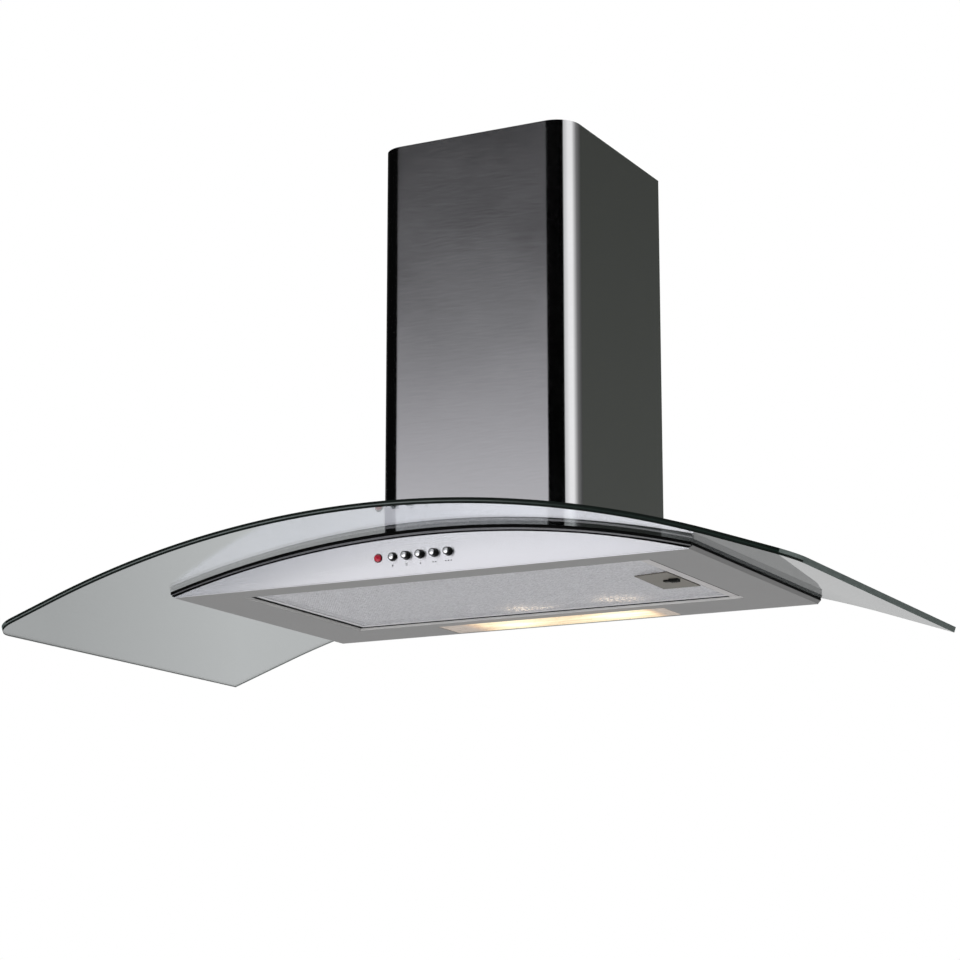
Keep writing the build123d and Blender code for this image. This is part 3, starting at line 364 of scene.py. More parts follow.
pane_glass = clear_glass("pane_glass")
edge_glass = edge_finish("edge_glass", (0.060, 0.076, 0.072), (0.090, 0.108, 0.103), 0.35)
# painted shade and light on the front edge: near-black bands, with a lighter line between them that fades to
# black towards the right
painted_dark_edge = edge_finish("painted_dark_edge", (0.001, 0.003, 0.002), (0.002, 0.006, 0.004), 0.5)
painted_light_core = edge_finish(
    "painted_light_core", (0.080, 0.094, 0.092), (0.115, 0.130, 0.128), 0.3, (0.006, 0.014, 0.011, 1))
print("glass:", pane_glass.name, edge_glass.name, painted_dark_edge.name, painted_light_core.name)

# %% [markdown]
# ## Plastics, rubber and the rest
#
# A moulded part has a faint grain that the tool leaves in it, and its gloss changes a little from
# place to place. Galvanised sheet shows the frozen crystals of its zinc. Chrome has hairline
# scratches. Each is the same shader with another noise in front of it.

# %% Make the moulded and plated finishes
def moulded(name, colour, roughness, pebble=900.0, depth=0.00003, specular=0.5):
    """Moulded plastic or rubber: fine pebbled grain and slightly uneven gloss."""
    material, tree, shader = new_finish(name, Specular_IOR_Level=specular)
    relief = bumps(tree, grain(tree, pebble, 2.0), 0.3, depth)
    broad = grain(tree, 25.0)
    surface(shader, broad, *around(colour, 0.1), roughness - 0.05, roughness + 0.05, Normal=relief)
    return material


def plated(name, colour, roughness, scratch, metallic=1.0, change=0.03):
    """Polished or plated metal with hairline scratches."""
    material, tree, shader = new_finish(name, Metallic=metallic)
    fine = grain(tree, 1.0, 4.0, scratch)
    relief = bumps(tree, fine, 0.1, 0.000005)
    surface(shader, fine, *around(colour, change), roughness, roughness + 0.04, Normal=relief)
    return material


def zinc_sheet(name, dark, light):
    """Hot-dipped sheet with its crystals."""
    material, tree, shader = new_finish(name, Metallic=0.9)
    crystals = add_node(tree, "TexVoronoi", [("Vector", hood_place(tree)), ("Scale", 130.0)])
    level = add_node(tree, "SeparateColor", [("Color", crystals.outputs["Color"])]).outputs[0]
    surface(shader, level, dark, light, 0.32, 0.52, Normal=bumps(tree, grain(tree, 300.0), 0.15, 0.00002))
    return material


finishes = {
    "rubber": moulded("black_rubber", (0.0015, 0.0015, 0.0016), 0.7, 500.0, 0.000004, 0.10),
    "nylon": moulded("white_nylon", (0.80, 0.80, 0.77), 0.45),
    "latch_taupe": moulded("taupe_plastic", (0.118, 0.110, 0.095), 0.5, 700.0),
    "mesh": plated("drawn_aluminium", (0.75, 0.75, 0.77), 0.5, (380.0, 420.0, 420.0), 0.55, 0.16),
    "black_plastic": moulded("black_plastic", (0.012, 0.012, 0.013), 0.38),
    "grey_plastic": moulded("grey_plastic", (0.45, 0.46, 0.47), 0.45),
    "ceramic": moulded("white_porcelain", (0.82, 0.81, 0.77), 0.25, 200.0),
    "scroll_plastic": moulded("scroll_plastic", (0.05, 0.05, 0.055), 0.5),
    "impeller_plastic": moulded("impeller_plastic", (0.11, 0.11, 0.115), 0.5),
    "chrome": plated("chrome", (0.88, 0.885, 0.89), 0.05, (300.0, 300.0, 300.0)),
    "zinc_screw": plated("zinc_screw", (0.60, 0.60, 0.58), 0.25, (900.0, 900.0, 900.0)),
    "motor_steel": plated("motor_steel", (0.32, 0.33, 0.34), 0.4, (40.0, 900.0, 900.0)),
    "reflector": plated("bright_aluminium", (0.85, 0.85, 0.84), 0.18, (20.0, 500.0, 500.0)),
    "aluminium": brushed_steel(
        "rolled_aluminium", (0.80, 0.78, 0.78), 0.38, along_width, backwards, 0.3, 0.03),
    "galvanised": zinc_sheet("zinc_sheet", (0.4264, 0.4428, 0.451), (0.572, 0.594, 0.605)),
    "stainless": body_steel,
    "panel_steel": panel_steel,
    "glass": pane_glass,
}
print("finishes:", len(finishes))

# %% [markdown]
# ## Lamps
#
# Two screw-in bulbs lie on their sides behind a ribbed plastic lens. The bulbs can't be seen through
# it, only a warm glow that is strongest in front of each. Real light through a frosted lens takes
# very many rays, so the lens itself glows, and a formula of the distance to each bulb says how much.
# Glints of that light in the mesh and a warm glow on the plate in front of the lens are painted as glow too,
# by the same formula.

# %% Paint glints on the mesh and a glow on the plate
def glow_at(tree, spots):
    """Soft spots of painted light: each is (x, y, width, depth, strength), in metres."""
    along, back = hood_axis(tree, "X"), hood_axis(tree, "Y")
    total = 0.0
    for x, y, width, depth, power in spots:
        squares = []
        for output, centre, reach in ((along, x, width), (back, y, depth)):
            away = maths(tree, "DIVIDE", maths(tree, "SUBTRACT", output, centre), reach)
            squares.append(maths(tree, "MULTIPLY", away, away))
        fall = maths(tree, "MULTIPLY", maths(tree, "ADD", *squares), -1.0)
        glow = maths(tree, "MULTIPLY", maths(tree, "EXPONENT", fall), power)
        total = maths(tree, "ADD", glow, total)
    return total


def paint_light_spots(material, colour, spots, speckle=0.0):
    """A faint painted glow in a few spots, broken up by a speckle of that strength."""
    tree = material.node_tree
    shader = tree.nodes["Principled BSDF"]
    glow = glow_at(tree, spots)
    if speckle:
        glow = maths(tree, "MULTIPLY", glow, remap(tree, grain(tree, 260.0, 2.0), 0.52, 0.62, 0.0, speckle))
    plug(shader, Emission_Color=colour, Emission_Strength=glow)


# painted glints: a speckled warm glow in the mesh stands for the bulbs' light caught by its strands
mesh_painted_glints = [
    (-0.014, -0.102, 0.013, 0.014, 0.55), (0.010, -0.098, 0.018, 0.008, 0.35),
    (0.098, -0.112, 0.012, 0.012, 0.45), (0.118, -0.106, 0.018, 0.018, 0.30)]
# painted light: a warm glow on the steel plate in front of the lens
plate_painted_glow = [(-0.045, -0.067, 0.050, 0.008, 0.055), (0.070, -0.067, 0.060, 0.008, 0.055)]
paint_light_spots(finishes["mesh"], (1.0, 0.80, 0.58, 1), mesh_painted_glints, speckle=2.3)
paint_light_spots(body_steel, (1.0, 0.70, 0.45, 1), plate_painted_glow)
print("glows:", len(mesh_painted_glints), "in the mesh and", len(plate_painted_glow), "on the plate")

# %% Make the lens finish
def lit_lens(name):
    """The ribbed cover with the bulbs' glow in it."""
    material, tree, shader = new_finish(name, Emission_Strength=1.0)
    bulb_low, bulb_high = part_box("bulb_right")
    bulb_y = (bulb_low.y + bulb_high.y) / 2
    along, back = hood_axis(tree, "X"), hood_axis(tree, "Y")
    window = maths(tree, "MULTIPLY", step_up(tree, along, -0.116, -0.086), step_up(tree, along, 0.128, 0.112))
    bulbs = glow_at(tree, [
        (-0.054, bulb_y + 0.004, 0.026, 0.016, 0.62), (0.078, bulb_y - 0.004, 0.032, 0.018, 0.60),
        (-0.045, bulb_y, 0.055, 0.040, 0.16), (0.070, bulb_y, 0.060, 0.040, 0.18)])
    streaks = spread(tree, grain(tree, 1.0, 2.0, (7, 110, 1)), 0.22, 0.62)
    light = ramp(tree, maths(tree, "MULTIPLY", window, maths(tree, "ADD", bulbs, streaks)), [
        (0.0, (0, 0, 0)), (0.25, (0.26, 0.13, 0.03)), (0.50, (0.52, 0.37, 0.16)),
        (0.72, (0.68, 0.62, 0.34)), (1.0, (0.74, 0.76, 0.58))])
    haze = grain(tree, 120.0)
    surface(shader, haze, (0.40, 0.34, 0.29), (0.46, 0.40, 0.35), 0.25, 0.35, Emission_Color=light)
    colour = shader.inputs["Base Color"].links[0].from_socket
    # painted shade: the lens is darker at its front left corner
    painted_shade_corner = maths(
        tree, "MULTIPLY", step_up(tree, back, -0.0535, -0.0575), step_up(tree, along, -0.085, -0.100))
    plug(shader, Base_Color=mixed(tree, painted_shade_corner, colour, (0.10, 0.075, 0.06, 1)))
    return material


finishes["lamp_lens"] = lit_lens("lamp_lens")

# %% Make the bulbs and the red lens
def glowing(name, pebble, dark, light, smooth, rough, **flat):
    """A hazy finish that gives light by itself."""
    material, tree, shader = new_finish(name, **flat)
    surface(shader, grain(tree, pebble), dark, light, smooth, rough)
    return material


finishes["bulb_glass"] = glowing(
    "bulb_glass", 200.0, (0.85, 0.80, 0.70), (0.92, 0.88, 0.80), 0.25, 0.4,
    Emission_Color=(1.0, 0.72, 0.36, 1), Emission_Strength=1.5)
finishes["red_lens"] = glowing(
    "red_lens", 700.0, (0.28, 0.002, 0.016), (0.36, 0.004, 0.026), 0.12, 0.2,
    Coat_Weight=1.0, Coat_Roughness=0.06, Emission_Color=(1.0, 0.01, 0.04, 1), Emission_Strength=0.05)
print("lamp finishes made")

# %% [markdown]
# ## Dress the pieces that stay
#
# The frame's own meshes are right for every folded sheet, screw and hidden part, so they only change
# their material. The record says which material slot each of them has, and the finishes above are
# kept under the same names.

# %% Give each kept piece its finish
special_finish = {
    "chimney_lower": chimney_steel,
    "chimney_upper": chimney_steel,
    "filter_frame": plated(
        "frame_aluminium", (0.60, 0.60, 0.615), 0.5, (380.0, 420.0, 420.0), 0.55, 0.10),
}
for subpart in frame["record"]["subparts"]:
    node, slot = subpart["node"], subpart["material_slot"]
    materials = nodes[node].data.materials
    finish = special_finish.get(node, finishes[slot])
    if materials:
        materials[0] = finish
    else:
        materials.append(finish)

# %% [markdown]
# ## The glass canopy
#
# The real pane is cut flat, its edges are ground, its holes drilled, and then it is heated and sagged
# over a curved mould. The mesh is made in that order too: draw the outline flat, slice it into
# strips so that it can bend, give it its thickness, grind the edges, and roll it over the arch. It
# could be carved from a curved block instead, but then every edge would be a cut through a curve.

# %% Read the pane's sizes
pane_low, pane_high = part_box("glass_canopy")
pane_thickness = 6 * mm
bend_radius = 1.128        # of the underside
bend_half = 0.372          # the bend ends this far from the middle
corner_radius = 25 * mm
notch_half = 0.106
notch_depth = 0.202
notch_corner = 12.5 * mm
pane_holes = [(side * 0.215, y) for side in (-1, 1) for y in (-0.090, -0.270)]
hole_radius = 4 * mm
arris = 0.7 * mm           # width of the ground edge
# core_low and core_high bound the painted line of light in the front edge
core_low, core_high = 2.3 * mm, 3.3 * mm  # the light line in the front edge

bend_angle = asin(bend_half / bend_radius)
crown = pane_high.z - pane_thickness
arc_length = bend_radius * bend_angle
flat_run = (pane_high.x - (bend_radius + pane_thickness) * sin(bend_angle)) / cos(bend_angle)
pane_half = arc_length + flat_run
print("pane's flat size:", round(2 * pane_half, 4), "by", round(-pane_low.y, 4))

# %% Roll a point over the arch
def rolled(s, y, h):
    """Where a point of the flat pane goes: s along it, y back, h above its underside."""
    angle = max(-bend_angle, min(bend_angle, s / bend_radius))
    beyond = s - angle * bend_radius
    reach = bend_radius + h
    x = reach * sin(angle) + beyond * cos(angle)
    z = crown - bend_radius + reach * cos(angle) - beyond * sin(angle)
    return Vector((x, y, z))


# %% Draw the outline flat
def arc_points(centre, radius, start, end, steps):
    """Points on an arc, from one angle to another in degrees."""
    angles = [radians(start + (end - start) * i / steps) for i in range(steps + 1)]
    return [(centre[0] + radius * cos(a), centre[1] + radius * sin(a)) for a in angles]


def pane_outline():
    """The flat pane seen from above, anticlockwise from its front left corner."""
    side, front = pane_half - corner_radius, pane_low.y + corner_radius
    inner, rear = notch_half - notch_corner, notch_corner - notch_depth
    return [
        *arc_points((-side, front), corner_radius, 180, 270, 10),
        *arc_points((side, front), corner_radius, 270, 360, 10), (pane_half, 0.0), (notch_half, 0.0),
        *arc_points((inner, rear), notch_corner, 0, -90, 6),
        *arc_points((-inner, rear), notch_corner, -90, -180, 6), (-notch_half, 0.0), (-pane_half, 0.0)]


# %% Cut, slice, grind and bend the pane
def closed_loop(bm, points):
    """Edges round a list of flat points."""
    corners = [bm.verts.new((x, y, 0)) for x, y in points]
    return [bm.edges.new((corner, after)) for corner, after in zip(corners, corners[1:] + corners[:1])]


def slice_at(bm, place, normal):
    """Cut every face along a plane."""
    everything = bm.verts[:] + bm.edges[:] + bm.faces[:]
    bmesh.ops.bisect_plane(bm, geom=everything, dist=hair, plane_co=place, plane_no=normal)


def cut_pane(strips):
    """The whole pane as a bmesh, still flat."""
    bm = bmesh.new()
    edges = closed_loop(bm, pane_outline())
    for x, y in pane_holes:
        s = bend_radius * asin(x / bend_radius)
        edges += closed_loop(bm, arc_points((s, y), hole_radius, 0, 345, 23))
    bmesh.ops.triangle_fill(bm, use_beauty=True, edges=edges)
    for i in range(1, strips):
        slice_at(bm, (pane_half * (2 * i / strips - 1), 0, 0), (1, 0, 0))
    rims = {edge for edge in bm.edges if len(edge.link_faces) == 1}
    inner_edges = [e for e in bm.edges if e not in rims and abs(e.verts[0].co.x - e.verts[1].co.x) > hair]
    bmesh.ops.dissolve_edges(bm, edges=inner_edges, use_verts=False)
    thicken(bm, bm.faces[:], pane_thickness)
    return bm


def level_edges(bm):
    """The edges that don't rise."""
    return [edge for edge in bm.edges if abs(edge.verts[0].co.z - edge.verts[1].co.z) < hair]


def grind_edges(bm):
    """Chamfer both rims of the pane."""
    sharp = [
        edge for edge in level_edges(bm)
        if len(edge.link_faces) == 2 and edge.calc_face_angle(0) > radians(80)
    ]
    bmesh.ops.bevel(bm, geom=sharp, offset=arris, segments=1, affect="EDGES", clamp_overlap=True)


def edge_slot(face):
    """Which finish a face of the flat pane gets: 0 pane, 1 ground edge, 2 painted dark line, 3 painted light
    line.
    """
    normal, middle = face.normal, face.calc_center_median()
    if abs(normal.z) > 0.95:
        return 0
    level = hypot(normal.x, normal.y)
    if normal.y / level > -0.2:
        return 1
    in_core = core_low < middle.z < core_high
    if normal.y / level < -0.93:
        return 3 if in_core else 2
    return 1 if middle.z > core_low else 2


pane_bm = cut_pane(strips=150)
grind_edges(pane_bm)
for height in (core_low, core_high):
    slice_at(pane_bm, (0, 0, height), (0, 0, 1))
pane_bm.normal_update()
for face in pane_bm.faces:
    face.material_index = edge_slot(face)
for vertex in pane_bm.verts:
    vertex.co = rolled(*vertex.co)
pane_finishes = [pane_glass, edge_glass, painted_dark_edge, painted_light_core]
glass_pane = piece_from("glass_pane", pane_bm, pane_finishes, "hood")
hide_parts("glass_canopy")
slots_used = [face.material_index for face in glass_pane.data.polygons]
print("pane faces by finish:", [slots_used.count(slot) for slot in range(4)])

# %% [markdown]
# ## The seal and the strip under the glass
#
# The pane rests on a black rubber seal that follows the top of the body, and a narrow metal strip
# covers the joint along the front. The seal bulges a little where the glass presses on it, so its lip
# hides the top of the strip. Both are sections swept along the same arch that bent the glass.

# %% Sweep a section along the arch
def swept_on_arch(bm, section, lowest, taper, second=()):
    """Sweep (y, h) points along the arch, over the body's width and never below lowest.

    The section loses the share taper of its height towards both ends. The strips of its faces that
    are in second get the second finish."""
    steps = 120
    half_angle = asin(body_high.x / bend_radius)
    rings = []
    for i in range(steps + 1):
        share = 2 * i / steps - 1
        ring = []
        for y, h in section:
            point = rolled(share * half_angle * bend_radius, y, h * (1 - taper * share ** 2))
            point.z = max(point.z, lowest)
            ring.append(bm.verts.new(point))
        rings.append(ring)
    join_rings(bm, rings, second)


# %% Make the strip and the seal's lips
body_low, body_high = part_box("glass_gasket")
strip_front = body_low.y
seal_thickness, seal_proud = 2.0, 0.35     # millimetres, as the sections are
seal_lip, side_lip_and_shade = 3.6, 3.0              # how far its face hangs, at the front and at the sides
strip_bottom, strip_hem = 7.3, 1.5         # below the glass; the hem is rolled and in shade
end_taper = 0.28                           # the strip narrows towards its ends
rubber = finishes["rubber"]


def front_section(points):
    """A section behind the strip's face, from (inwards, down) in millimetres."""
    return [(strip_front + inwards * mm, -down * mm) for inwards, down in points]


hem_top = strip_bottom - strip_hem
strip_bm = bmesh.new()
swept_on_arch(strip_bm, front_section([
    (0, seal_thickness), (0, hem_top), (0.25, hem_top + 0.3), (0.6, strip_bottom), (1.9, strip_bottom),
    (1.9, seal_thickness)]), 0.2 * mm, end_taper, (1, 2, 3))
# painted shade: the faces of the rolled hem get the black rubber finish, for the shade under the strip
front_strip = piece_from("front_strip", strip_bm, [trim_steel, rubber], "hood")
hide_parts("front_trim")

lip_bm = bmesh.new()
swept_on_arch(lip_bm, front_section([
    (0, 0.05), (-0.6 * seal_proud, 0.15), (-seal_proud, 0.8), (-seal_proud, seal_lip - 0.6),
    (-0.6 * seal_proud, seal_lip - 0.1), (0, seal_lip), (0.8, seal_lip - 0.9), (0.8, 0.1)]),
    0.5 * mm, 0.5 * end_taper)
piece_from("front_seal_lip", lip_bm, rubber, "hood")

seal_top = rolled(bend_radius * asin(body_high.x / bend_radius), 0, 0).z
# painted shade: the black side lips hang 3 mm down the body's sides, seal and also the shade along the top of
# those sides
side_section = [
    (0, 0.12), (seal_proud, 0.3), (seal_proud, side_lip_and_shade - 0.4), (0, side_lip_and_shade), (-0.8, side_lip_and_shade - 0.5),
    (-0.8, 0.12)]
for name, side in (("left_seal_lip_and_shade", -1), ("right_seal_lip_and_shade", 1)):
    side_bm = bmesh.new()
    join_rings(side_bm, [
        [side_bm.verts.new((side * (body_high.x + out * mm), y, seal_top - down * mm))
         for out, down in side_section]
        for y in (strip_front - seal_proud * mm, body_high.y)
    ])
    piece_from(name, side_bm, rubber, "hood")
print("seal lip", seal_lip, "mm high")

# %% [markdown]
# ## The grease filter
#
# The filter is a frame round layers of expanded aluminium: sheet that is slit in rows and pulled, so
# that each slit opens into a diamond and the strands between them stand at a slant. A texture of
# diamonds would look right only from straight below. Here each row of strands is a zigzag ribbon of
# real metal, and neighbouring rows meet at their knots. Three layers lie one above the other.

# %% Weave the expanded layers
def expanded_layer(points, faces, middle, long_way, short_way, strand, sheet, tilt):
    """Zigzag ribbons, one for each row of slits, as lists of points and quads."""
    low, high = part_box("filter_mesh")
    across = Vector((0, cos(tilt), sin(tilt))) * strand / 2
    thick = Vector((0, -sin(tilt), cos(tilt))) * sheet / 2
    corners = (across + thick, across - thick, -across - thick, -across + thick)
    margin = short_way / 4 + strand / 2
    rows = int((high.y - low.y - 2 * margin) / (short_way / 2))
    knots = int((high.x - low.x) / (long_way / 2))
    spare = (high.x - low.x - knots * long_way / 2) / 2
    for row in range(rows + 1):
        first = len(points)
        for knot in range(knots + 1):
            swing = short_way / 4 * (1 if (row + knot) % 2 else -1)
            place = Vector((
                low.x + spare + knot * long_way / 2, low.y + margin + row * short_way / 2 + swing, middle))
            points.extend(place + corner for corner in corners)
        for knot in range(knots):
            start = first + 4 * knot
            for side in range(4):
                after = (side + 1) % 4
                faces.append((start + side, start + after, start + 4 + after, start + 4 + side))
        last = first + 4 * knots
        faces.append((first + 3, first + 2, first + 1, first))
        faces.append((last, last + 1, last + 2, last + 3))
    return rows


lattice_points, lattice_faces = [], []
layer_rows = [
    expanded_layer(lattice_points, lattice_faces, *layer)
    for layer in (   # middle, long way, short way, strand, sheet and tilt
        (4.0 * mm, 9.0 * mm, 4.4 * mm, 1.35 * mm, 0.30 * mm, radians(18)),
        (7.4 * mm, 14.0 * mm, 7.5 * mm, 2.6 * mm, 0.35 * mm, radians(-14)),
        (10.8 * mm, 16.0 * mm, 8.0 * mm, 3.4 * mm, 0.35 * mm, radians(10)),
    )
]
lattice_mesh = bpy.data.meshes.new("filter_lattice")
lattice_mesh.from_pydata(lattice_points, [], lattice_faces)
lattice_mesh.materials.append(finishes["mesh"])
filter_lattice = new_object("filter_lattice", lattice_mesh)
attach(filter_lattice, "filter")
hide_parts("filter_mesh")
print("rows of strands:", layer_rows, "quads:", len(lattice_faces))

# %% [markdown]
# The filter sits in a shallow recess. Its plate is folded up all round it, and the fold catches more
# light than the flat does, so a thin lining in a light colour stands for the rounded inside of that
# fold: painted light. The frame of the filter is grey, apart from the wide border beside the latch,
# which is a brighter copy of it: painted light. Black slots paint the shade where it clears the opening.

# %% Line the recess and add the filter's border
opening_low = Vector((-232.0, -320.5, 0.15)) * mm
opening_high = Vector((242.0, -72.5, 3.35)) * mm
lining = 0.3 * mm
# painted light: the lining is lighter than the plate, for the light that the rounded fold catches
fold_painted_light = moulded("fold_light_paint", (0.50, 0.495, 0.49), 0.4)
lining_bm = bmesh.new()
for low, high in (
    (opening_low, (opening_low.x + lining, opening_high.y, opening_high.z)),
    ((opening_low.x, opening_high.y - lining, opening_low.z), opening_high),
    ((opening_high.x - lining, opening_low.y, opening_low.z), opening_high),
    (opening_low, (opening_high.x, opening_low.y + lining, opening_high.z)),
):
    add_box(lining_bm, low, high)
piece_from("recess_lit_lining", lining_bm, fold_painted_light, "hood")

border_left, border_right = 225.0 * mm, 235.4 * mm
border_low, border_high = 2.7 * mm, 3.45 * mm
frame_front, frame_rear = -319.3 * mm, -73.7 * mm
border_bm = bmesh.new()
border_edges = add_box(
    border_bm, (border_left, frame_front, border_low), (border_right, frame_rear, border_high))
bmesh.ops.bevel(border_bm, geom=border_edges, offset=0.25 * mm, segments=2, affect="EDGES")
# painted light: the border beside the latch is a brighter copy of the frame's aluminium
border_painted_light = brushed_steel("border_painted_light", (0.70, 0.68, 0.68), 0.5, along_width, backwards, 0.2, 0.03)
piece_from("filter_painted_border", border_bm, border_painted_light, "filter")

# painted shade: black boxes fill the slots between the filter and its opening
gap_low = 2.6 * mm
gap_left, gap_right = -230.6 * mm, 240.3 * mm
frame_left = -227.0 * mm
rear_gap = 1.6 * mm
gap_shade_bm = bmesh.new()
for left, right, front in (
    (border_right, gap_right, frame_front),
    (gap_left, frame_left, frame_front),
    (frame_left, border_left, frame_rear - rear_gap),
):
    add_box(gap_shade_bm, (left, front, gap_low), (right, frame_rear, border_high))
piece_from("filter_gap_shade", gap_shade_bm, finishes["rubber"], "filter")
print("recess lined,", round((opening_high.x - opening_low.x) / mm), "mm wide")

# %% [markdown]
# ## The latch of the filter
#
# A flat plastic plate holds the latch. Its front edge is serrated, and the black slide in its middle
# has a low step and a high one for the finger. The plate is drawn as an outline and given its
# thickness, then its edges are rounded, as a moulding's are.

# %% Helpers for rounded blocks
def extruded(bm, outline, low, high, rounding, segments=2):
    """A closed solid over a flat outline, with rounded edges."""
    face = bm.faces.new([bm.verts.new((x, y, low)) for x, y in outline])
    thicken(bm, [face], high - low)
    if rounding:
        bmesh.ops.bevel(
            bm, geom=level_edges(bm), offset=rounding, segments=segments, affect="EDGES", clamp_overlap=True)


def add_block(bm, left, right, front, rear, low, high, rounding, segments=2):
    """A rounded block between six faces, all in millimetres."""
    outline = [(x * mm, y * mm) for x, y in ((left, front), (right, front), (right, rear), (left, rear))]
    extruded(bm, outline, low * mm, high * mm, rounding * mm, segments)


# %% Mould the plate of the latch
plate_low, plate_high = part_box("latch_plate")
plate_right, plate_rear = 223.5 * mm, -150.0 * mm
plate_front_right = Vector((224.0, -239.0)) * mm
plate_front_left = Vector((184.5, -231.5)) * mm
plate_top = 3.4 * mm
tooth_count = 9
tooth_depth = 1.6 * mm

plate_outline = [(plate_low.x + 0.5 * mm, plate_rear), (plate_right, plate_rear)]
for tooth in range(tooth_count):
    tip = plate_front_right.lerp(plate_front_left, tooth / tooth_count)
    notch = plate_front_right.lerp(plate_front_left, (tooth + 0.5) / tooth_count)
    plate_outline += [tuple(tip), (notch.x, notch.y + tooth_depth)]
plate_outline.append(tuple(plate_front_left))
plate_outline.reverse()
plate_bm = bmesh.new()
extruded(plate_bm, plate_outline, plate_low.z, plate_top, 0.25 * mm)
latch_face = piece_from("latch_face", plate_bm, finishes["latch_taupe"], "filter")
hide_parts("latch_plate")

housing_bm = bmesh.new()
add_block(housing_bm, 186, 231, -215, -178, 4.5, plate_high.z / mm, 0.8)
add_block(housing_bm, 190, 220, -213, -180, plate_top / mm, 4.6, 0)    # the neck up to the plate
piece_from("latch_housing", housing_bm, finishes["latch_taupe"], "filter")
print("latch plate with", tooth_count, "teeth")

# %% Mould the slide of the latch
knob_black = moulded("knob_black", (0.005, 0.005, 0.005), 0.5, specular=0.2)
slide_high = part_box("latch_slide")[1]
ridge_count, ridge_spacing, ridge_width = 4, 2.1, 0.8    # millimetres, as the blocks are
slide_bm = bmesh.new()
add_block(slide_bm, 202.5, 213.0, -200.0, -193.5, 0.4, 2.1, 0.4)       # the low step
add_block(slide_bm, 211.0, 221.0, -205.5, -197.5, -0.9, 2.1, 0.4)      # the high step
for ridge in range(ridge_count):
    left = 212.4 + ridge_spacing * ridge
    add_block(slide_bm, left, left + ridge_width, -204.7, -198.3, -1.3, -0.8, 0.15, 1)
add_block(slide_bm, 210, slide_high.x / mm, -198.5, -194.5, 4.8, slide_high.z / mm, 0.4)    # the bolt
add_block(slide_bm, 211, 215, -198.5, -194.5, 1.5, 6.0, 0)             # the stem between them
slide_knob = piece_from("slide_knob", slide_bm, knob_black, "latch")
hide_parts("latch_slide")
print("slide with", ridge_count, "ridges")

# %% [markdown]
# ## The lamp cover
#
# The cover is a clear moulding with fine ribs along its length. They bend the light of the bulbs into
# streaks, so that nobody looks straight into a filament. The ribs are real, on a cross section that
# is drawn once and pulled out to the cover's length.

# %% Mould the lamp cover
cover_low, cover_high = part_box("lamp_cover")
cover_end = 139.2 * mm
rib_count = 16
rib_depth = 0.35 * mm
rim_width = 2.2 * mm


def cover_section():
    """(y, z) points round the cover's cross section."""
    front, rear = cover_low.y, cover_high.y
    wall_top = cover_high.z - 0.4 * mm
    rounding = [(0.0, wall_top), (0.0, 0.9 * mm), (0.35 * mm, 0.3 * mm), (0.9 * mm, 0.0)]
    section = [(front + inwards, z) for inwards, z in rounding]
    ribs_front = front + rim_width
    width = (rear - rim_width - ribs_front) / rib_count
    section.append((ribs_front, 0.0))
    for rib in range(rib_count):
        start = ribs_front + width * rib
        flat = [(start + 0.25 * width, rib_depth), (start + 0.75 * width, rib_depth)]
        section += [*flat, (start + width, 0.0)]
    section += [(rear - inwards, z) for inwards, z in reversed(rounding)]
    return section + [(rear - 0.4 * mm, cover_high.z), (front + 0.4 * mm, cover_high.z)]


cover_bm = bmesh.new()
join_rings(cover_bm, [
    [cover_bm.verts.new((x, y, z)) for y, z in cover_section()] for x in (-cover_end, cover_end)
])
pin_y, pin_z = -53.7 * mm, 1.5 * mm
pin_radius = 1.0 * mm
pin_root = cover_end - 0.2 * mm    # the hinge pins start inside the cover
for side in (-1, 1):
    pin = [(0, pin_radius), (cover_high.x - pin_root, pin_radius)]
    add_turned(cover_bm, pin, Vector((side * pin_root, pin_y, pin_z)), Vector((side, 0, 0)), 16)
lamp_lens = piece_from("lamp_lens", cover_bm, finishes["lamp_lens"], "lamp_lid")
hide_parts("lamp_cover")
print("cover with", rib_count, "ribs")

# %% [markdown]
# ## The buttons
#
# Each button is a black barrel with a polished cap, and it slides in a black collar that is pressed
# into the panel. All of them are round, so a profile is drawn from the axis outwards and turned like
# work on a lathe. The light button is latched in.

# %% Turn the buttons
button_names = ("light", "off", "low", "medium", "high")
button_black = moulded("button_black", (0.004, 0.004, 0.004), 0.3, 300.0, specular=0.22)
cap_chrome = plated("cap_chrome", (0.93, 0.93, 0.94), 0.10, (500.0, 500.0, 500.0))
panel_face = -355 * mm
forward = Vector((0, -1, 0))
cap_inset = 0.95    # of the cap in its barrel, in millimetres
collar_radius = 4.65 * mm
clearance = 0.15 * mm
button_x = {}


def on_panel(low, high):
    """Middle of a box, on the face of the panel."""
    return Vector(((low.x + high.x) / 2, panel_face, (low.z + high.z) / 2))


def turned_ring(name, profile, place, material):
    """A turned piece with a hole through it, pressed into the panel."""
    ring_bm = bmesh.new()
    ends = add_turned(ring_bm, profile, place, forward)[-2:]
    bmesh.ops.delete(ring_bm, geom=ends, context="FACES_ONLY")
    rims = [edge for edge in ring_bm.edges if len(edge.link_faces) == 1]
    bmesh.ops.bridge_loops(ring_bm, edges=rims)
    piece_from(name, ring_bm, material, "hood")


def shoulder(length, radius, steps):
    """Points of a profile, from (short of its end, in from its rim) in millimetres."""
    return [(length - short * mm, radius - inwards * mm) for short, inwards in steps]


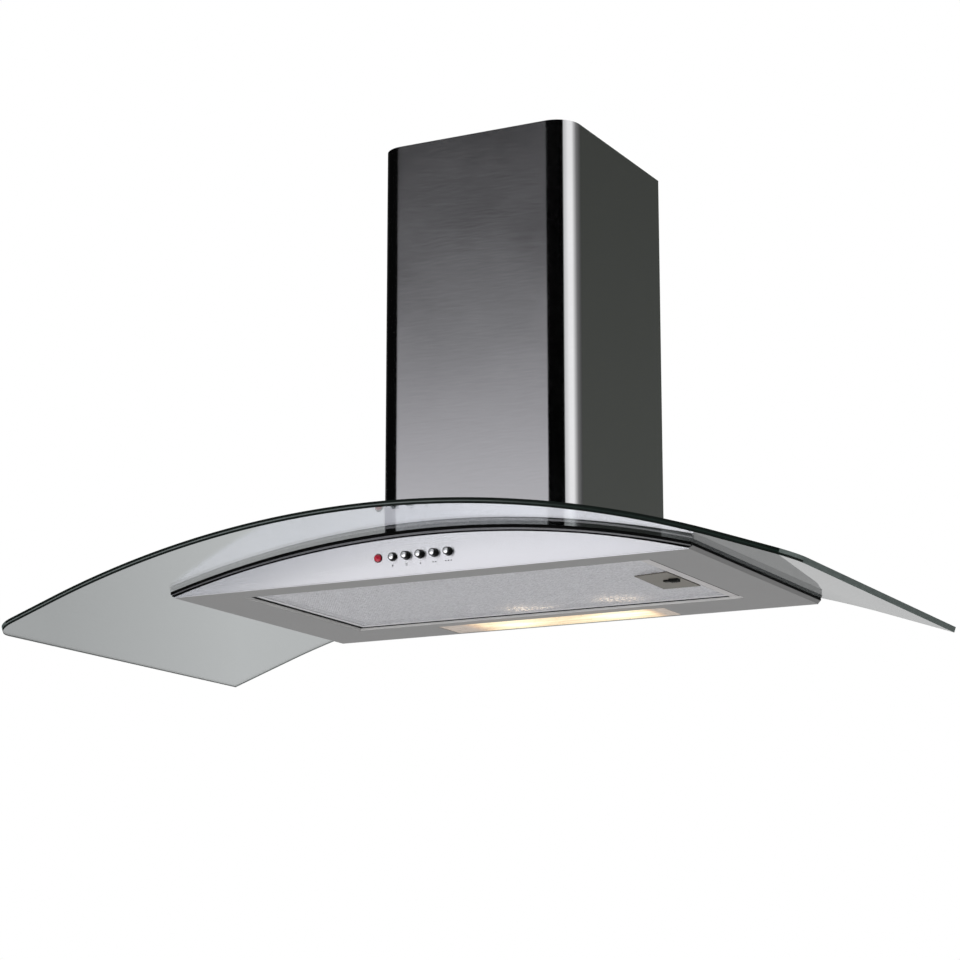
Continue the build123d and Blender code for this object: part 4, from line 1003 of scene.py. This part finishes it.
for name in button_names:
    low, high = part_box("button_" + name)
    place = on_panel(low, high)
    button_x[name] = place.x
    root = Vector((place.x, high.y, place.z))
    radius = (high.x - low.x) / 2
    length = high.y - low.y
    barrel_bm, cap_bm = bmesh.new(), bmesh.new()
    add_turned(barrel_bm, [(0, radius), *shoulder(length, radius, [
        (1.5, 0), (0.5, 0.15), (0.3, 0.45), (0.3, cap_inset), (0.6, cap_inset + 0.1)])], root, forward)
    add_turned(cap_bm, [*shoulder(length, radius - cap_inset * mm, [
        (1.2, 0), (0.25, 0), (0.06, 0.10), (0, 0.3)]), (length, 0)], root, forward)
    barrel = piece_from("barrel_" + name, barrel_bm, button_black, name + "_button")
    piece_from("cap_" + name, cap_bm, cap_chrome, name + "_button")
    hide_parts("button_" + name)
    inner = radius + clearance
    collar = shoulder(0, collar_radius, [(0.2, 0), (-0.7, 0), (-1.2, 0.3), (-1.3, 0.55)])
    collar = [(-0.2 * mm, inner), *collar, (1.1 * mm, inner)]
    turned_ring("collar_" + name, collar, place, button_black)
print("buttons made:", len(button_names))

# %% [markdown]
# ## The fold of the panel
#
# The sheet of the front panel is folded back along its lower edge. A fold is round, so it always
# shows a thin bright line somewhere. A slim rod along the edge has the same roundness.

# %% Round the panel's lower edge
fold_radius = 0.55 * mm
fold_half = body_high.x - 6 * mm
fold_bm = bmesh.new()
fold_start = Vector((-fold_half, panel_face + 0.35 * mm, 0.1 * mm + fold_radius))
add_turned(fold_bm, [(0, fold_radius), (2 * fold_half, fold_radius)], fold_start, Vector((1, 0, 0)), 16)
piece_from("panel_fold", fold_bm, panel_steel, "hood")
print("fold", round(2 * fold_half / mm), "mm long")

# %% [markdown]
# ## The pilot light
#
# The red dome beside the buttons is turned like them: a stem that widens into a rounded head. A thin
# ring of dark red plastic round its foot paints the dark rim that the dome shows at its edge: painted shade.

# %% Turn the pilot light
lamp_low, lamp_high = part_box("indicator_lamp")
dome_place = on_panel(lamp_low, lamp_high)
dome_radius = (lamp_high.x - lamp_low.x) / 2
dome_length = lamp_high.y - lamp_low.y
dome_rise = 4.2 * mm
stem_radius = 2.5 * mm
stem_length = dome_length - 5.2 * mm
dome_profile = [(0, stem_radius), (stem_length, stem_radius), (stem_length, dome_radius)]
dome_profile += [
    (dome_length - dome_rise + dome_rise * along, dome_radius * out)
    for out, along in arc_points((0, 0), 1.0, 0, 90, 12)
]
dome_bm = bmesh.new()
add_turned(dome_bm, dome_profile, Vector((dome_place.x, lamp_high.y, dome_place.z)), forward)
pilot_dome = piece_from("pilot_dome", dome_bm, finishes["red_lens"], "hood")
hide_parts("indicator_lamp")

# painted shade: a dark red ring round the dome's foot stands for the dark rim at the dome's edge
dome_rim_shade = moulded("dome_rim_paint", (0.035, 0.004, 0.008), 0.3)
ring_inner, ring_outer = dome_radius + 0.05 * mm, dome_radius + 0.7 * mm
turned_ring("pilot_shade_ring", [
    (0, ring_inner), (0, ring_outer), (0.5 * mm, ring_outer), (0.9 * mm, ring_inner + 0.2 * mm),
    (0.9 * mm, ring_inner)], dome_place, dome_rim_shade)
print("dome radius", round(dome_radius / mm, 2))

# %% [markdown]
# ## Printed marks
#
# Small grey marks under the buttons say what each does: a lamp, a switch sign, and one, two or three
# dots for the fan's speeds. Printing has almost no height. Each mark is a tiny plate that lies on the
# panel, thick enough to be seen from the side as paint is.

# %% Print the marks
ink = moulded("grey_ink", (0.022, 0.022, 0.024), 0.6)
ink_thickness = 0.06 * mm
mark_height = 11.7 * mm
speed_dot, dot_spacing = 0.68 * mm, 3.1 * mm
switch_steps = 8    # of the arc round the switch sign's dash
ink_bm = bmesh.new()


def dot(button, across, up, radius):
    """A dot, so far across and up from the middle of a button's mark."""
    place = Vector((button_x[button] + across, panel_face, mark_height + up))
    add_turned(ink_bm, [(0, radius), (ink_thickness, radius)], place, forward, 20)


def dash(button, across, up, width, height):
    """A dash, so far across and up from the middle of a button's mark."""
    x, z = button_x[button] + across, mark_height + up
    add_box(
        ink_bm, (x - width / 2, panel_face - ink_thickness, z - height / 2),
        (x + width / 2, panel_face, z + height / 2))


for name, count in (("low", 1), ("medium", 2), ("high", 3)):
    for i in range(count):
        dot(name, (i - (count - 1) / 2) * dot_spacing, 0, speed_dot)
dot("light", 0, 0.35 * mm, 0.8 * mm)
dash("light", 0, -0.75 * mm, 0.9 * mm, 0.4 * mm)
dash("light", 0, -1.35 * mm, 0.6 * mm, 0.3 * mm)
dash("off", 0, -0.6 * mm, 2.4 * mm, 0.7 * mm)
for i in range(switch_steps + 1):
    angle = radians(40 + 100 * i / switch_steps)
    dash("off", 1.3 * mm * cos(angle), 0.1 * mm + 1.2 * mm * sin(angle), 0.5 * mm, 0.45 * mm)
piece_from("printed_marks", ink_bm, ink, "hood")
print("marks printed at", round(mark_height / mm, 1), "mm")

# %% [markdown]
# ## The light
#
# Polished things look like what stands round them. A photographer of steel and glass therefore
# lights the room and not the object: big cards in white, grey and black stand about it, and each face
# of the chimney shows one of them. The cards here are bands of a tall ring. They are seen only in
# reflections, or one of them only through the glass, and the background stays plain white.

# %% Hang the white world
ambient_light = 0.62    # what the world sheds on things, where 1 is what the eye sees of it
world = bpy.data.worlds.new("studio")
bpy.context.scene.world = world
world.use_nodes = True
tree = world.node_tree
rays = add_node(tree, "LightPath").outputs
mirrored = maths(tree, "MAXIMUM", rays["Is Glossy Ray"], rays["Is Transmission Ray"])
seen = maths(tree, "MAXIMUM", rays["Is Camera Ray"], mirrored)
brightness = remap(tree, seen, 0.0, 1.0, ambient_light, 1.0)
plug(tree.nodes["Background"], Color=(1, 1, 1, 1), Strength=brightness)
print("ambient light", ambient_light)

# %% Lay the pale floor
floor_height = -2.65
floor_half = 40.0
floor_lift = 0.3    # of its own light, for the camera alone, so that it looks as white as the world
floor_corners = [(x * floor_half, y * floor_half, 0) for x, y in ((-1, -1), (1, -1), (1, 1), (-1, 1))]
floor_mesh = bpy.data.meshes.new("floor")
floor_mesh.from_pydata(floor_corners, [], [(0, 1, 2, 3)])
floor = new_object("floor", floor_mesh)
floor.location.z = floor_height
floor_finish, floor_tree, floor_shader = new_finish(
    "pale_floor", Base_Color=(0.92, 0.92, 0.92, 1), Roughness=0.9, Emission_Color=(1, 1, 1, 1))
floor_rays = add_node(floor_tree, "LightPath").outputs
floor_glow = maths(floor_tree, "MULTIPLY", floor_rays["Is Camera Ray"], floor_lift)
plug(floor_shader, Emission_Strength=floor_glow)
floor_mesh.materials.append(floor_finish)
print("floor", -floor_height, "m below")

# %% Make a reflection card
ring_radius = 3.5
turn_step = 3    # degrees between the card's columns of points
white = (1.0, 1.0, 1.0)


def card_columns(turns):
    """(angle, share) pairs about turn_step apart, between the given ones."""
    columns = [turns[0]]
    for (start, start_share), (end, end_share) in zip(turns, turns[1:]):
        steps = max(1, round((end - start) / turn_step))
        columns += [
            (start + (end - start) * i / steps, start_share + (end_share - start_share) * i / steps)
            for i in range(1, steps + 1)
        ]
    return columns


def card(name, turns, levels, through_glass=False):
    """One band of the ring.

    turns is a list of (angle, share), where 0 is the front and 90 the right, and levels is a list of
    (height, brightness) or (height, brightness, tint) from the bottom up. Between them the colour
    blends. A card is seen in reflections, or else only through the glass."""
    columns = card_columns(turns)
    points, colours = [], []
    for z, brightness, *tint in levels:
        colour = [brightness * part for part in (tint[0] if tint else white)]
        for turn, share in columns:
            angle = radians(turn)
            points.append((ring_radius * sin(angle), -ring_radius * cos(angle), z))
            colours.extend((*(part * share for part in colour), 1.0))
    width = len(columns)
    quads = [
        (i, i + 1, i + width + 1, i + width)
        for row in range(len(levels) - 1) for i in range(row * width, row * width + width - 1)
    ]
    mesh = bpy.data.meshes.new(name)
    mesh.from_pydata(points, [], quads)
    mesh.color_attributes.new("shade", "FLOAT_COLOR", "POINT").data.foreach_set("color", colours)
    material, tree, shader = new_finish(name)
    tree.nodes.remove(shader)
    shade = add_node(tree, "VertexColor", layer_name="shade")
    light = add_node(tree, "Emission", [("Color", shade.outputs["Color"])])
    plug(tree.nodes["Material Output"], Surface=light.outputs[0])
    mesh.materials.append(material)
    band = new_object(name, mesh)
    band.visible_camera = False
    band.visible_diffuse = False
    band.visible_shadow = False
    band.visible_transmission = through_glass
    band.visible_glossy = not through_glass


# %% Stand the cards round the hood
lilac = (1.0, 0.99, 1.04)
blue = (0.99, 0.99, 1.06)
green = (0.97, 1.03, 0.94)
ring_low = -2.6
ring_mid = -0.10   # below this the front is seen only in the panel's image in the glass
ring_high = 9.0
card("card_front_left", [(-40, 1.0), (-30, 1.0), (-26, 1.02), (-18, 1.06), (-15, 1.06)], [
    (ring_mid, 1.25), (0.30, 1.15), (0.65, 1.0, lilac), (0.95, 0.50, lilac),
    (1.25, 0.05, lilac), (1.60, 0.01), (ring_high, 0.004)])
front_low_turns = [
    (-40, 0.42), (-31.2, 0.50), (-29.4, 0.68), (-26.1, 1.12), (-24.3, 1.08), (-20.6, 1.0), (-15, 0.95)]
card("card_front_low", front_low_turns, [(ring_low, 1.4, blue), (ring_mid, 1.4, blue)])
card("card_front", [(-15, 1.0), (52, 1.0)], [(ring_low, 0.0005), (ring_high, 0.0005)])
card("card_right", [(52, 0.60), (74, 1.0), (92, 1.0), (104, 0.55), (118, 0.20), (146, 0.06)], [
    (ring_low, 0.30), (-0.60, 0.45), (0.40, 1.30), (1.90, 1.45), (2.50, 0.45),
    (ring_high, 0.30)])
card("card_back_right", [(146, 1.0), (185, 1.0)], [
    (ring_low, 0.50), (-0.30, 0.50), (0.10, 0.12, green), (0.60, 0.10, green),
    (2.0, 0.065, green), (ring_high, 0.05, green)])
card("card_back_left", [(185, 1.0), (250, 1.0)], [
    (ring_low, 0.56), (-0.4, 0.52), (0.15, 0.60), (0.6, 0.66), (0.75, 0.03),
    (ring_high, 0.01)])
card("card_left", [(250, 1.0), (320, 1.0)], [(ring_low, 0.004), (ring_high, 0.001)])
wall_turns = [
    (0, 1.0), (190, 0.9), (200.5, 0.8), (203, 1.3), (209, 1.42), (215, 1.42), (219, 1.48), (222.5, 1.22),
    (226.5, 0.97), (360, 1.0)]
card("grey_wall", wall_turns, [(ring_low, 0.34), (ring_high, 0.36)], through_glass=True)
print("reflection cards stand", ring_radius, "m away")

# %% Add the soft lamps
def soft_lamp(name, place, target, width, height, power):
    """A large square lamp, aimed at a point."""
    data = bpy.data.lights.new(name, "AREA")
    data.shape = "RECTANGLE"
    data.size, data.size_y, data.energy = width, height, power
    lamp = new_object(name, data)
    lamp.location = place
    lamp.rotation_euler = (Vector(target) - Vector(place)).to_track_quat("-Z", "Y").to_euler()
    lamp.visible_glossy = False
    lamp.visible_transmission = False


hood_middle = (0.0, -0.2, 0.1)
soft_lamp("lamp_left", (-2.6, -2.6, 1.6), hood_middle, 1.8, 1.8, 55)
soft_lamp("lamp_right", (2.8, -1.8, 1.2), hood_middle, 1.4, 1.8, 25)
soft_lamp("lamp_below", (0.4, -1.8, -1.7), hood_middle, 2.0, 2.0, 40)
print("lamps placed")
